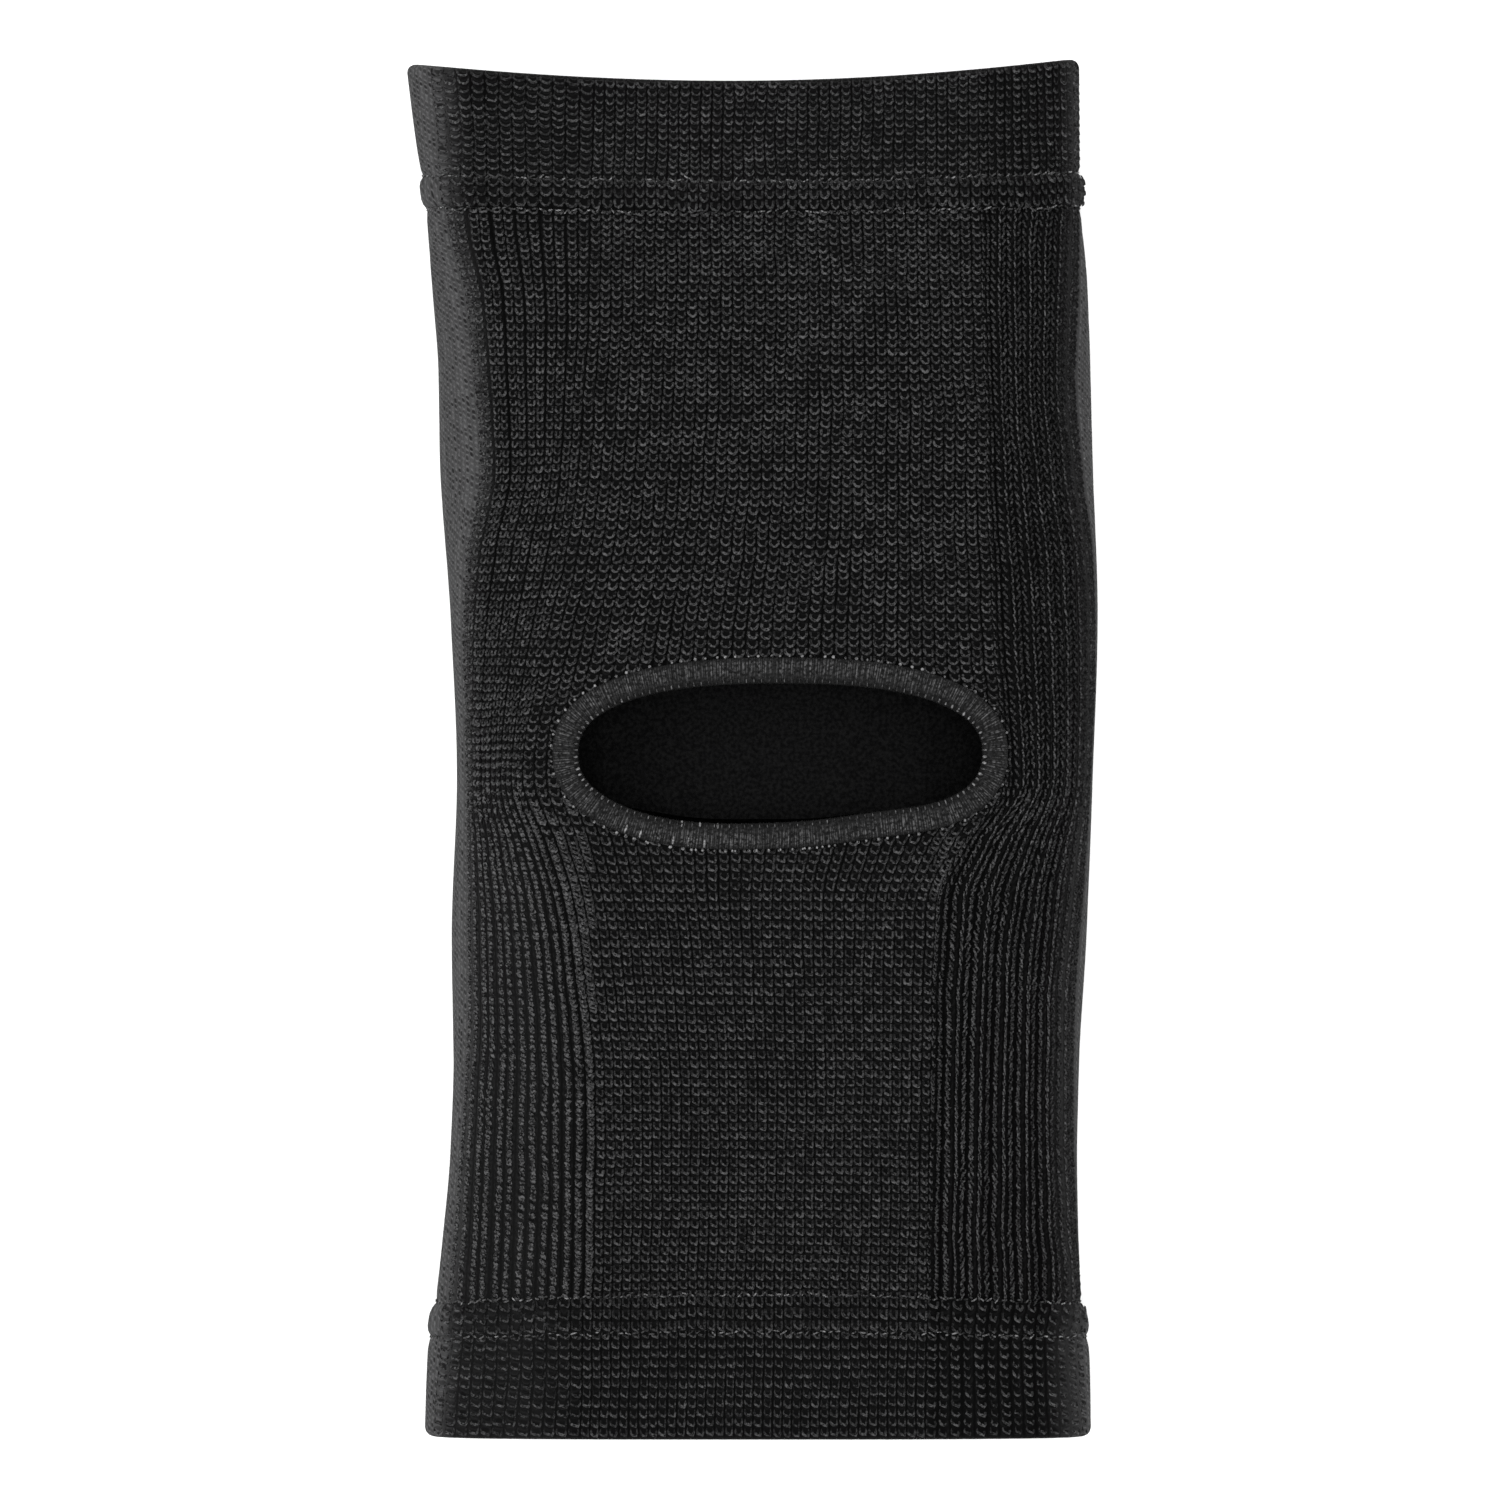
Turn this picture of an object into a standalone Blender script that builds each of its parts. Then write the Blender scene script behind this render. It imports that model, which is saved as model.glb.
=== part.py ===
"""A knitted volleyball knee pad, lying on its padded front with the back of the knee on top.

Metres, +X to the right over the back, +Y towards the thigh, +Z up. The origin is the middle of the
underside of the box round the whole pad.
"""
import functools
import math

import bmesh
import bpy
import numpy as np

# Sizes of the sleeve as it lies
LENGTH = 0.250
WIDTH = 0.1252
HOLLOW = 0.0170
WALL = 0.0018
FOLD_RADIUS = 0.0050
FRONT_FLAT_SHARE = 0.50
BACK_FLAT_SHARE = 0.28
FOLD_HEIGHT_SHARE = 0.42
GAP = 0.0003

# Ribs down both sides of the back
RIB_DEPTH = 0.0006
LEFT_RIBS = 8
RIGHT_RIBS = 7

# Hems and the stitched bands that hold them
THIGH_HEM = 0.0242
CALF_HEM = 0.0214
CUFF_WALL = 0.0032
SEAM_WIDTH = 0.0060
SEAM_RISE = 0.0008
SEAM_SINK = 0.0005

# Vent hole behind the knee and its binding
VENT_LENGTH = 0.0717
VENT_WIDTH = 0.0248
VENT_X = 0.0053
VENT_Y = -0.0010
VENT_ROUND = 2.4
BINDING_WIDTH = 0.0046
BINDING_RISE = 0.0013
BINDING_LIP = 0.0022
BINDING_DROP = 0.0008

# Foam pad and the cloth over its inner face
PAD_THICK = 0.0200
PAD_EDGE = 0.0026
PAD_ROUND = 3.0
PAD_SIDE_ROOM = 0.0080
PAD_END_ROOM = 0.0200
PAD_SEAT = 0.0004
LINING_WALL = 0.0010
LINING_MARGIN = 0.0028

HEIGHT = 2 * WALL + PAD_SEAT + GAP + PAD_THICK + LINING_WALL + HOLLOW

# The sleeve from the calf mouth (along 0) to the thigh mouth (along 1). left and right are its reach from
# the middle as shares of WIDTH, top and under the heights of its back and its front as shares of HEIGHT. bow
# is how far the middle of each round of knitting runs ahead of its right fold, and tilt how far the right
# fold runs ahead of the left one, both as shares of LENGTH.
SLEEVE_COLUMNS = ("along", "left", "right", "top", "under", "bow", "tilt")
SLEEVE = [
    (0.000, 0.4730, 0.4945, 0.400, 0.012, 0.0000, 0.0000),
    (0.058, 0.4690, 0.4915, 0.440, 0.030, 0.0040, 0.0000),
    (0.100, 0.4560, 0.4790, 0.500, 0.060, 0.0085, 0.0000),
    (0.145, 0.4455, 0.4745, 0.590, 0.070, 0.0070, 0.0000),
    (0.203, 0.4345, 0.4718, 0.710, 0.040, 0.0040, 0.0000),
    (0.275, 0.4289, 0.4745, 0.840, 0.000, 0.0010, 0.0000),
    (0.362, 0.4310, 0.4840, 0.940, 0.000, 0.0000, 0.0000),
    (0.478, 0.4230, 0.4928, 1.000, 0.000, 0.0000, 0.0000),
    (0.594, 0.4321, 0.5000, 1.000, 0.000, 0.0000, 0.0000),
    (0.710, 0.4480, 0.4930, 0.940, 0.000, 0.0000, 0.0000),
    (0.768, 0.4500, 0.4905, 0.870, 0.030, -0.0010, 0.0000),
    (0.840, 0.4610, 0.4856, 0.730, 0.070, -0.0035, 0.0000),
    (0.898, 0.4710, 0.4770, 0.570, 0.060, -0.0065, 0.0010),
    (0.942, 0.4850, 0.4770, 0.470, 0.030, -0.0100, 0.0025),
    (1.000, 0.5000, 0.4775, 0.400, 0.012, -0.0160, 0.0036),
]

# The plain panel of the back between the ribs, as shares of WIDTH from the middle. It is widest round the
# ends of the vent hole, where the ribs spread to pass it.
PANEL_COLUMNS = ("along", "left", "right")
PANEL = [
    (0.00, 0.245, 0.250),
    (0.25, 0.235, 0.250),
    (0.40, 0.265, 0.320),
    (0.50, 0.325, 0.412),
    (0.60, 0.290, 0.365),
    (0.75, 0.235, 0.335),
    (1.00, 0.225, 0.330),
]

# The lip of the vent hole, as shares of a plain oval, by the turn round it from its right end in degrees
LIP_COLUMNS = ("turn", "reach")
LIP = [
    (0, 1.00),
    (90, 1.00),
    (180, 1.00),
    (240, 1.02),
    (285, 0.93),
    (330, 0.94),
    (360, 1.00),
]

BACK_COLUMNS = 9
FRONT_COLUMNS = 24
RIB_COLUMNS = (0.0, 0.34, 0.66)
CUFF_SIDE_COLUMNS = 8
FOLD_CROWDING = 1.5
SLEEVE_STATIONS = 17
VENT_COLUMNS = 44
PAD_STATIONS = 11
PAD_COLUMNS = 10
PAD_END_TURN = 80
OUTLINE_SAMPLES = 160
LEAD_STEPS = 3


def smooth(table, columns, name, at):
    """The named column read along the table's first column, by a curve that overshoots no row."""
    row = np.array(table, float)
    x = row[:, 0]
    y = row[:, columns.index(name)]
    rise = np.diff(y) / np.diff(x)
    before = np.concatenate([rise[:1], rise])
    after = np.concatenate([rise, rise[-1:]])
    same = before * after > 0
    slope = np.where(same, 2 * before * after / np.where(same, before + after, 1.0), 0.0)
    k = int(np.clip(np.searchsorted(x, at) - 1, 0, len(x) - 2))
    span = x[k + 1] - x[k]
    s = float(np.clip((at - x[k]) / span, 0.0, 1.0))
    start = (1 + 2 * s) * (1 - s) ** 2 * y[k] + s * (1 - s) ** 2 * span * slope[k]
    return float(start + s * s * (3 - 2 * s) * y[k + 1] + s * s * (s - 1) * span * slope[k + 1])


def along_of(y):
    """The share of the sleeve's length at a place y."""
    return 0.5 + y / LENGTH


@functools.lru_cache(maxsize=None)
def section(along):
    """The sleeve's sizes at one station: reach left and right, heights of top, under and fold."""
    left = smooth(SLEEVE, SLEEVE_COLUMNS, "left", along) * WIDTH
    right = smooth(SLEEVE, SLEEVE_COLUMNS, "right", along) * WIDTH
    top = smooth(SLEEVE, SLEEVE_COLUMNS, "top", along) * HEIGHT
    under = smooth(SLEEVE, SLEEVE_COLUMNS, "under", along) * HEIGHT
    return left, right, top, under, under + FOLD_HEIGHT_SHARE * (top - under)


def quarter(reach, height, flat, samples):
    """A quarter of the section from the fold to the middle: a flat share, then a round shoulder, offset
    outwards by the fold's radius. Gives x, z and the direction that it faces."""
    core = reach - FOLD_RADIUS
    shoulder = (1 - flat) * core
    rise = height - FOLD_RADIUS
    facing = np.linspace(0, math.pi / 2, samples)
    turn = np.arctan2(rise * np.sin(facing), shoulder * np.cos(facing))
    turn = np.sort(np.concatenate([turn, np.linspace(0, math.pi / 2, samples)[1:-1]]))
    facing = np.arctan2(shoulder * np.sin(turn), rise * np.cos(turn))
    x = flat * core + shoulder * np.cos(turn) + FOLD_RADIUS * np.cos(facing)
    z = rise * np.sin(turn) + FOLD_RADIUS * np.sin(facing)
    return x, z, facing


@functools.lru_cache(maxsize=None)
def outline(along):
    """The closed section at one station, from the left fold over the back, the right fold and the front:
    points, directions that they face, and the distance walked to each."""
    left, right, top, under, fold = section(along)
    parts = []
    for reach, height, flat, way, side, turned in (
        (left, top - fold, BACK_FLAT_SHARE, 1, -1, False),
        (right, top - fold, BACK_FLAT_SHARE, 1, 1, True),
        (right, fold - under, FRONT_FLAT_SHARE, -1, 1, False),
        (left, fold - under, FRONT_FLAT_SHARE, -1, -1, True),
    ):
        x, z, facing = quarter(reach, height, flat, OUTLINE_SAMPLES)
        rows = np.stack([side * x, fold + way * z, side * np.cos(facing), way * np.sin(facing)], axis=1)
        parts.append(rows[::-1] if turned else rows)
    rows = np.concatenate(parts)
    walked = np.concatenate([[0.0], np.cumsum(np.hypot(*np.diff(rows[:, :2], axis=0).T))])
    marks = {"left": 0.0, "end": walked[-1]}
    marks["right"] = walked[2 * len(parts[0]) - 1]
    back = slice(0, 2 * len(parts[0]))
    for name, side in (("panel_left", -1), ("panel_right", 1)):
        edge = side * smooth(PANEL, PANEL_COLUMNS, name[6:], along) * WIDTH
        marks[name] = float(np.interp(edge, rows[back, 0], walked[back]))
    return rows, walked, marks


def ribbed_columns():
    """Where the columns of the sleeve stand: the stretch, the share of it, and 1 in a groove."""
    columns = []
    for first, last, count in (("left", "panel_left", LEFT_RIBS), ("panel_right", "right", RIGHT_RIBS)):
        for rib in range(count):
            for place in RIB_COLUMNS:
                groove = 1 if place == 0 and (rib or first != "left") else 0
                columns.append((first, last, (rib + place) / count, groove))
        if first == "left":
            columns.append(("panel_left", "panel_right", 0.0, 1))
            for k in range(1, BACK_COLUMNS):
                columns.append(("panel_left", "panel_right", k / BACK_COLUMNS, 0))
    return columns + front_columns()


def plain_columns():
    """The same stretches in fewer columns, for the folded hems."""
    columns = []
    for first, last in (("left", "panel_left"), ("panel_left", "panel_right"), ("panel_right", "right")):
        for k in range(CUFF_SIDE_COLUMNS):
            share = k / CUFF_SIDE_COLUMNS
            if first == "left":
                share = share ** FOLD_CROWDING
            if last == "right":
                share = 1 - (1 - share) ** FOLD_CROWDING
            columns.append((first, last, share, 0))
    return columns + front_columns()


def front_columns():
    """Columns of the front, close together at the folds and wide apart on the flat."""
    shares = [0.5 - 0.5 * math.cos(math.pi * k / FRONT_COLUMNS) for k in range(FRONT_COLUMNS)]
    return [("right", "end", share, 0) for share in shares]


def lead(along, x):
    """How far the knitting runs ahead of its station at a place across."""
    left, right = section(along)[:2]
    across = max(-1.0, min(1.0, x / (right if x > 0 else left)))
    bow = smooth(SLEEVE, SLEEVE_COLUMNS, "bow", along) * LENGTH
    tilt = smooth(SLEEVE, SLEEVE_COLUMNS, "tilt", along) * LENGTH
    return bow * (1 - across * across) - tilt * (1 - across) / 2


def station_at(x, y):
    """The station whose round of knitting passes through a place."""
    along = along_of(y)
    for step in range(LEAD_STEPS):
        along = along_of(y - lead(along, x))
    return along


def ring(along, depth, columns, groove=0.0):
    """One round of points at a station, set into the cloth by a depth."""
    rows, walked, marks = outline(along)
    points = []
    for first, last, share, grooved in columns:
        place = marks[first] + share * (marks[last] - marks[first])
        x, z, nx, nz = (float(np.interp(place, walked, rows[:, k])) for k in range(4))
        size = math.hypot(nx, nz)
        inset = depth + grooved * groove
        y = (along - 0.5) * LENGTH + lead(along, x)
        points.append((x - inset * nx / size, y, z - inset * nz / size))
    return points


def loft(name, rings, material, closed=True):
    """One solid through rings of as many points each, closed on itself or capped at both ends."""
    bm = bmesh.new()
    rows = [[bm.verts.new(p) for p in points] for points in rings]
    pairs = list(zip(rows, rows[1:]))
    if closed:
        pairs.append((rows[-1], rows[0]))
    else:
        bm.faces.new(rows[0])
        bm.faces.new(rows[-1])
    count = len(rows[0])
    for near, far in pairs:
        for k in range(count):
            n = (k + 1) % count
            bm.faces.new((near[k], near[n], far[n], far[k]))
    bmesh.ops.triangulate(bm, faces=bm.faces, quad_method="SHORT_EDGE")
    bmesh.ops.recalc_face_normals(bm, faces=bm.faces)
    mesh = bpy.data.meshes.new(name)
    bm.to_mesh(mesh)
    bm.free()
    mesh.shade_smooth()
    mesh.set_sharp_from_angle(angle=math.radians(50))
    mesh.materials.append(material)
    obj = bpy.data.objects.new(name, mesh)
    bpy.context.collection.objects.link(obj)
    return obj


def cloth(name, colour, roughness):
    """A plain material for one piece."""
    material = bpy.data.materials.new(name)
    material.use_nodes = True
    shader = material.node_tree.nodes["Principled BSDF"]
    shader.inputs["Base Color"].default_value = (*colour, 1.0)
    shader.inputs["Roughness"].default_value = roughness
    shader.inputs["Metallic"].default_value = 0.0
    return material


def sleeve_body():
    """The knitted tube between the hems, thinner where the stitched bands press it, with the vent cut in."""
    start = along_of(-LENGTH / 2 + CALF_HEM + GAP / 2)
    end = along_of(LENGTH / 2 - THIGH_HEM - GAP / 2)
    pressed = SEAM_WIDTH / 2 / LENGTH
    stations = np.concatenate([[start], np.linspace(start + pressed, end - pressed, SLEEVE_STATIONS), [end]])
    columns = ribbed_columns()
    rings = []
    for at in stations:
        at_end = at in (start, end)
        rings.append(ring(at, SEAM_SINK if at_end else 0.0, columns, 0.0 if at_end else RIB_DEPTH))
    for at in stations[::-1]:
        rings.append(ring(at, WALL, columns))
    body = loft("sleeve_body", rings, cloth("black_knit", (0.017, 0.017, 0.018), 0.9))
    cutter = vent_cutter()
    cut = body.modifiers.new("vent hole", "BOOLEAN")
    cut.operation = "DIFFERENCE"
    cut.solver = "EXACT"
    cut.object = cutter


def vent_edge(offset):
    """The vent's lip seen from above, moved outwards by an offset: a closed list of (x, y)."""
    turns = [2 * math.pi * k / VENT_COLUMNS for k in range(VENT_COLUMNS)]
    lip = []
    for turn in turns:
        reach = smooth(LIP, LIP_COLUMNS, "reach", math.degrees(turn))
        c, s = math.cos(turn), math.sin(turn)
        x = math.copysign(abs(c) ** (2 / VENT_ROUND), c) * VENT_LENGTH / 2
        y = math.copysign(abs(s) ** (2 / VENT_ROUND), s) * VENT_WIDTH / 2 * reach
        lip.append((VENT_X + x, VENT_Y + y))
    lip = np.array(lip)
    ahead = np.roll(lip, -1, axis=0) - np.roll(lip, 1, axis=0)
    out = np.stack([ahead[:, 1], -ahead[:, 0]], axis=1)
    return lip + offset * out / np.linalg.norm(out, axis=1)[:, None]


def back_height(x, y):
    """The height of the back's outer face at a place."""
    left, right, top, under, fold = section(station_at(x, y))
    across, height, facing = quarter(right if x > 0 else left, top - fold, BACK_FLAT_SHARE, OUTLINE_SAMPLES)
    return fold + float(np.interp(abs(x), across[::-1], height[::-1], left=top - fold))


def vent_cutter():
    """The prism that cuts the vent through the back wall alone."""
    edge = vent_edge(BINDING_LIP + GAP)
    low = HEIGHT - WALL - HOLLOW / 2
    floor = [(x, y, low) for x, y in edge]
    roof = [(x, y, HEIGHT + WALL) for x, y in edge]
    cutter = loft("vent_guide", [floor, roof], cloth("guide", (0.5, 0.5, 0.5), 1.0), closed=False)
    cutter.hide_render = True
    cutter.display_type = "WIRE"
    return cutter


def vent_binding():
    """The rolled edge that hooks over the cut edge of the vent and lies on the back round it."""
    deep = -WALL - GAP - BINDING_DROP
    profile = [
        (0.0, deep / 2),
        (0.25 * BINDING_LIP, 0.6 * BINDING_RISE),
        (BINDING_LIP, BINDING_RISE + GAP),
        (0.78 * BINDING_WIDTH, 0.85 * BINDING_RISE + GAP),
        (BINDING_WIDTH, GAP + 0.3 * BINDING_RISE),
        (BINDING_WIDTH - GAP, GAP),
        (BINDING_LIP, GAP),
        (BINDING_LIP, deep + 0.2 * BINDING_DROP),
        (0.75 * BINDING_LIP, deep),
        (0.2 * BINDING_LIP, 0.85 * deep),
    ]
    rings = []
    for out, lift in profile:
        points = vent_edge(out)
        held = vent_edge(max(out, BINDING_LIP))
        rings.append([(x, y, back_height(hx, hy) + lift) for (x, y), (hx, hy) in zip(points, held)])
    loft("vent_binding", rings, cloth("black_binding", (0.026, 0.026, 0.027), 0.75))


def cuff(name, mouth, hem, way):
    """A folded hem of two layers, round at the mouth and pressed thinner under its stitched band."""
    seam = along_of(mouth - way * (hem - GAP / 2))
    open_end = along_of(mouth)
    step = way / LENGTH
    inner = CUFF_WALL
    profile = [
        (seam, SEAM_SINK),
        (seam + step * SEAM_WIDTH / 2, 0.0),
        ((seam + open_end) / 2, 0.0),
        (open_end - step * 0.40 * inner, 0.0),
        (open_end - step * 0.10 * inner, 0.16 * inner),
        (open_end, 0.5 * inner),
        (open_end - step * 0.10 * inner, 0.84 * inner),
        (open_end - step * 0.40 * inner, inner),
        ((seam + open_end) / 2, inner),
        (seam, inner),
    ]
    columns = plain_columns()
    rings = [ring(at, depth, columns) for at, depth in profile]
    loft(name, rings, cloth(f"black_{name}", (0.015, 0.015, 0.016), 0.9))


def hem_seam(name, line):
    """The raised stitched band round the sleeve where the hem and the tube meet."""
    half = SEAM_WIDTH / 2
    profile = [
        (-half, 0.5),
        (-0.55 * half, 1.0),
        (0.55 * half, 1.0),
        (half, 0.5),
        (0.9 * half, 0.0),
        (-0.9 * half, 0.0),
    ]
    columns = [(first, last, share, 0) for first, last, share, grooved in ribbed_columns()]
    rings = [ring(along_of(line + out), -GAP - rise * SEAM_RISE, columns) for out, rise in profile]
    loft(name, rings, cloth(f"black_{name}", (0.022, 0.022, 0.023), 0.8))


def pad_plan():
    """The pad's stations: place y, its reach left and right there and its thickness there."""
    low = -LENGTH / 2 + CALF_HEM + PAD_END_ROOM
    high = LENGTH / 2 - THIGH_HEM - PAD_END_ROOM
    plan = []
    for k in range(PAD_STATIONS):
        v = math.sin(math.radians(PAD_END_TURN) * (2 * k / (PAD_STATIONS - 1) - 1))
        y = (low + high) / 2 + v * (high - low) / 2
        left, right = section(along_of(y))[:2]
        share = (1 - abs(v) ** PAD_ROUND) ** (1 / PAD_ROUND)
        thick = PAD_EDGE + (PAD_THICK - PAD_EDGE) * math.sqrt(1 - abs(v) ** PAD_ROUND)
        plan.append((y, (left - PAD_SIDE_ROOM) * share, (right - PAD_SIDE_ROOM) * share, thick))
    return plan


def pad_places(left, right):
    """Places across the pad, close together at its edges."""
    turns = [math.cos(math.pi * k / PAD_COLUMNS) for k in range(PAD_COLUMNS + 1)]
    return [-left * turn if turn > 0 else -right * turn for turn in turns]


def front_height(x, y):
    """The height of the front wall's inner face at a place inside the sleeve."""
    left, right, top, under, fold = section(station_at(x, y))
    across, height, facing = quarter(right if x > 0 else left, fold - under, FRONT_FLAT_SHARE, OUTLINE_SAMPLES)
    across = across - WALL * np.cos(facing)
    height = height - WALL * np.sin(facing)
    return fold - float(np.interp(abs(x), across[::-1], height[::-1]))


def pad_top(x, y, reach, thick):
    """The height of the pad's inner face, crowned across."""
    crown = math.sqrt(max(0.0, 1 - abs(x / reach) ** PAD_ROUND))
    low = front_height(x, y) + PAD_SEAT
    return max(low + PAD_EDGE, front_height(0, y) + PAD_SEAT + thick * crown)


def knee_pad():
    """The foam pad, which lies on the front wall."""
    rings = []
    for y, left, right, thick in pad_plan():
        places = pad_places(left, right)
        under = [(x, y, front_height(x, y) + PAD_SEAT) for x in places]
        over = [(x, y, pad_top(x, y, right if x > 0 else left, thick)) for x in places]
        rings.append(under + over[::-1])
    loft("knee_pad", rings, cloth("grey_foam", (0.08, 0.08, 0.085), 0.95), closed=False)


def pad_lining():
    """The smooth cloth over the pad's inner face, with a margin that lies on the front wall round it."""
    plan = pad_plan()
    first, last = plan[0], plan[-1]
    rows = [(first[0] - LINING_MARGIN, first[1], first[2], 0.0), (first[0] - GAP, *first[1:]), *plan]
    rows += [(last[0] + GAP, *last[1:]), (last[0] + LINING_MARGIN, last[1], last[2], 0.0)]
    rings = []
    for y, left, right, thick in rows:
        places = [-left - LINING_MARGIN, -left - GAP, *pad_places(left, right)]
        places += [right + GAP, right + LINING_MARGIN]
        under = []
        for x in places:
            held = max(-left, min(right, x))
            if thick > 0 and abs(x - held) < 2 * GAP:
                under.append((x, y, pad_top(held, y, right if x > 0 else left, thick) + GAP))
            else:
                under.append((x, y, front_height(x, y) + PAD_SEAT))
        over = [(x, y, z + LINING_WALL) for x, y, z in under]
        rings.append(under + over[::-1])
    loft("pad_lining", rings, cloth("black_lining", (0.010, 0.010, 0.011), 0.8), closed=False)


def knee_pad_sleeve():
    """Every piece, in the order in which it is put together."""
    for obj in list(bpy.data.objects):
        bpy.data.objects.remove(obj, do_unlink=True)
    knee_pad()
    pad_lining()
    sleeve_body()
    vent_binding()
    cuff("thigh_cuff", LENGTH / 2, THIGH_HEM, 1)
    cuff("calf_cuff", -LENGTH / 2, CALF_HEM, -1)
    hem_seam("thigh_hem_seam", LENGTH / 2 - THIGH_HEM)
    hem_seam("calf_hem_seam", -LENGTH / 2 + CALF_HEM)


knee_pad_sleeve()
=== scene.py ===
import math

import bmesh
import bpy
import numpy as np
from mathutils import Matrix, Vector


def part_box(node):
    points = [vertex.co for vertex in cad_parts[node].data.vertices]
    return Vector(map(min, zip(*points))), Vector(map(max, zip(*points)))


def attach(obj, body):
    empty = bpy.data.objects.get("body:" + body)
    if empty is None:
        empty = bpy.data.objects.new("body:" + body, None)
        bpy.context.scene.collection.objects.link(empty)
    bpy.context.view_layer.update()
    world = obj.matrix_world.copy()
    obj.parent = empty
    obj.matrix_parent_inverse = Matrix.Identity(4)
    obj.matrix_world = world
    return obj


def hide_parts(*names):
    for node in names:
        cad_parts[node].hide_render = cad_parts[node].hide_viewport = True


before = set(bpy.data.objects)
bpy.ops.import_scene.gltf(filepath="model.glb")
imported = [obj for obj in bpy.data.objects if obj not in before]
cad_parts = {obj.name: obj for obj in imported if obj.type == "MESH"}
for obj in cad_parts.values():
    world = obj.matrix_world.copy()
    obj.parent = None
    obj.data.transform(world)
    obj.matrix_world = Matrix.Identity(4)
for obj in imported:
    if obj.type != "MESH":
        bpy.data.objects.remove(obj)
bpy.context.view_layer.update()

rng = np.random.default_rng(7)


# Sleeve
# One knitted tube of black elastic yarn, lying on its padded front. The back is a panel of loops with ribs
# down both sides, and finer, paler jersey comes round the folds from the front. The vent is cut in the back
# before the tube gets its wall.

LENGTH = 0.250
WIDTH = 0.1252
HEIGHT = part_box("sleeve_body")[1][2]
WALL = 0.0018
FOLD_RADIUS = 0.0050
FRONT_FLAT = 0.50
BACK_FLAT = 0.28
FOLD_HEIGHT = 0.42
THIGH_HEM = 0.0242
CALF_HEM = 0.0214
THIGH_LINE = LENGTH / 2 - THIGH_HEM
CALF_LINE = -LENGTH / 2 + CALF_HEM
HALF_SEAM = 0.0030
SEAM_PULL = 0.00035
SEAM_PULL_REACH = 0.0009
VENT_LENGTH = 0.0717
VENT_WIDTH = 0.0248
VENT_X = 0.0053
VENT_Y = -0.0010
VENT_ROUND = 2.4
CUT_OFFSET = 0.0020
CUT_ABOVE = 0.6

SLEEVE_COLUMNS = ("along", "left", "right", "top", "under", "bow", "tilt")
SLEEVE = [
    (0.000, 0.4730, 0.4945, 0.400, 0.012, 0.0000, 0.0000),
    (0.058, 0.4690, 0.4915, 0.440, 0.030, 0.0040, 0.0000),
    (0.100, 0.4560, 0.4790, 0.500, 0.060, 0.0085, 0.0000),
    (0.145, 0.4455, 0.4745, 0.590, 0.070, 0.0070, 0.0000),
    (0.203, 0.4345, 0.4718, 0.710, 0.040, 0.0040, 0.0000),
    (0.275, 0.4289, 0.4745, 0.840, 0.000, 0.0010, 0.0000),
    (0.362, 0.4310, 0.4840, 0.940, 0.000, 0.0000, 0.0000),
    (0.478, 0.4230, 0.4928, 1.000, 0.000, 0.0000, 0.0000),
    (0.594, 0.4321, 0.5000, 1.000, 0.000, 0.0000, 0.0000),
    (0.710, 0.4480, 0.4930, 0.940, 0.000, 0.0000, 0.0000),
    (0.768, 0.4500, 0.4905, 0.870, 0.030, -0.0010, 0.0000),
    (0.840, 0.4610, 0.4856, 0.730, 0.070, -0.0035, 0.0000),
    (0.898, 0.4710, 0.4770, 0.570, 0.060, -0.0065, 0.0010),
    (0.942, 0.4850, 0.4770, 0.470, 0.030, -0.0100, 0.0025),
    (1.000, 0.5000, 0.4775, 0.400, 0.012, -0.0160, 0.0036),
]

# Where the zones of knitting meet, as shares of WIDTH from the middle: the jersey's edges and the panel's.
ZONE_COLUMNS = ("along", "jersey_left", "panel_left", "panel_right", "jersey_right")
ZONES = [
    (0.000, 0.4600, 0.245, 0.252, 0.4900),
    (0.250, 0.4150, 0.235, 0.256, 0.4680),
    (0.317, 0.4080, 0.245, 0.258, 0.4700),
    (0.390, 0.4080, 0.265, 0.266, 0.4800),
    (0.430, 0.4080, 0.290, 0.300, 0.4850),
    (0.477, 0.4080, 0.325, 0.362, 0.4900),
    (0.578, 0.4120, 0.290, 0.347, 0.4970),
    (0.636, 0.4070, 0.262, 0.341, 0.4940),
    (0.694, 0.3880, 0.245, 0.337, 0.4800),
    (0.764, 0.3980, 0.235, 0.335, 0.4690),
    (0.825, 0.4120, 0.230, 0.332, 0.4740),
    (0.870, 0.4360, 0.229, 0.331, 0.4760),
    (0.920, 0.4500, 0.228, 0.330, 0.4765),
    (1.000, 0.4620, 0.225, 0.330, 0.4765),
]

LEFT_WALES = 12
PANEL_WALES = 36
RIGHT_WALES = 14
FRONT_WALES = 144
WALE_COLUMNS = 3
FRONT_COLUMNS = 90
SLEEVE_ROWS = 158
COURSE_HIGH = 0.00150
COURSE_LOW = 0.00168
JERSEY_COURSES = 1.45
JERSEY_FADE = {"left": 2.6, "right": 4.2}
LOW_JERSEY = 0.08
LOW_JERSEY_WALES = 5
FINE_REACH = 0.025
WALE_RELIEF = 0.00016
# The ribs' grooves at the left and the right: how deep each one is, then how much painted shade darkens it.
LEFT_GROOVE = 0.00036
LEFT_GROOVE_SHADE = 0.8
RIGHT_GROOVE = 0.00048
RIGHT_GROOVE_SHADE = 0.6
STRONG_LINES = (2, 4)
WEAK_LINE = 0.45
LINE_REACH = 0.2
BETWEEN_LINES = 0.25
PANEL_RIBS = 3.2
PANEL_RIB_SHARE = 0.4
LOW_RIB_LOSS = 0.85
OUTLINE_SAMPLES = 220
LOOP_SINK = 0.00022


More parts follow.
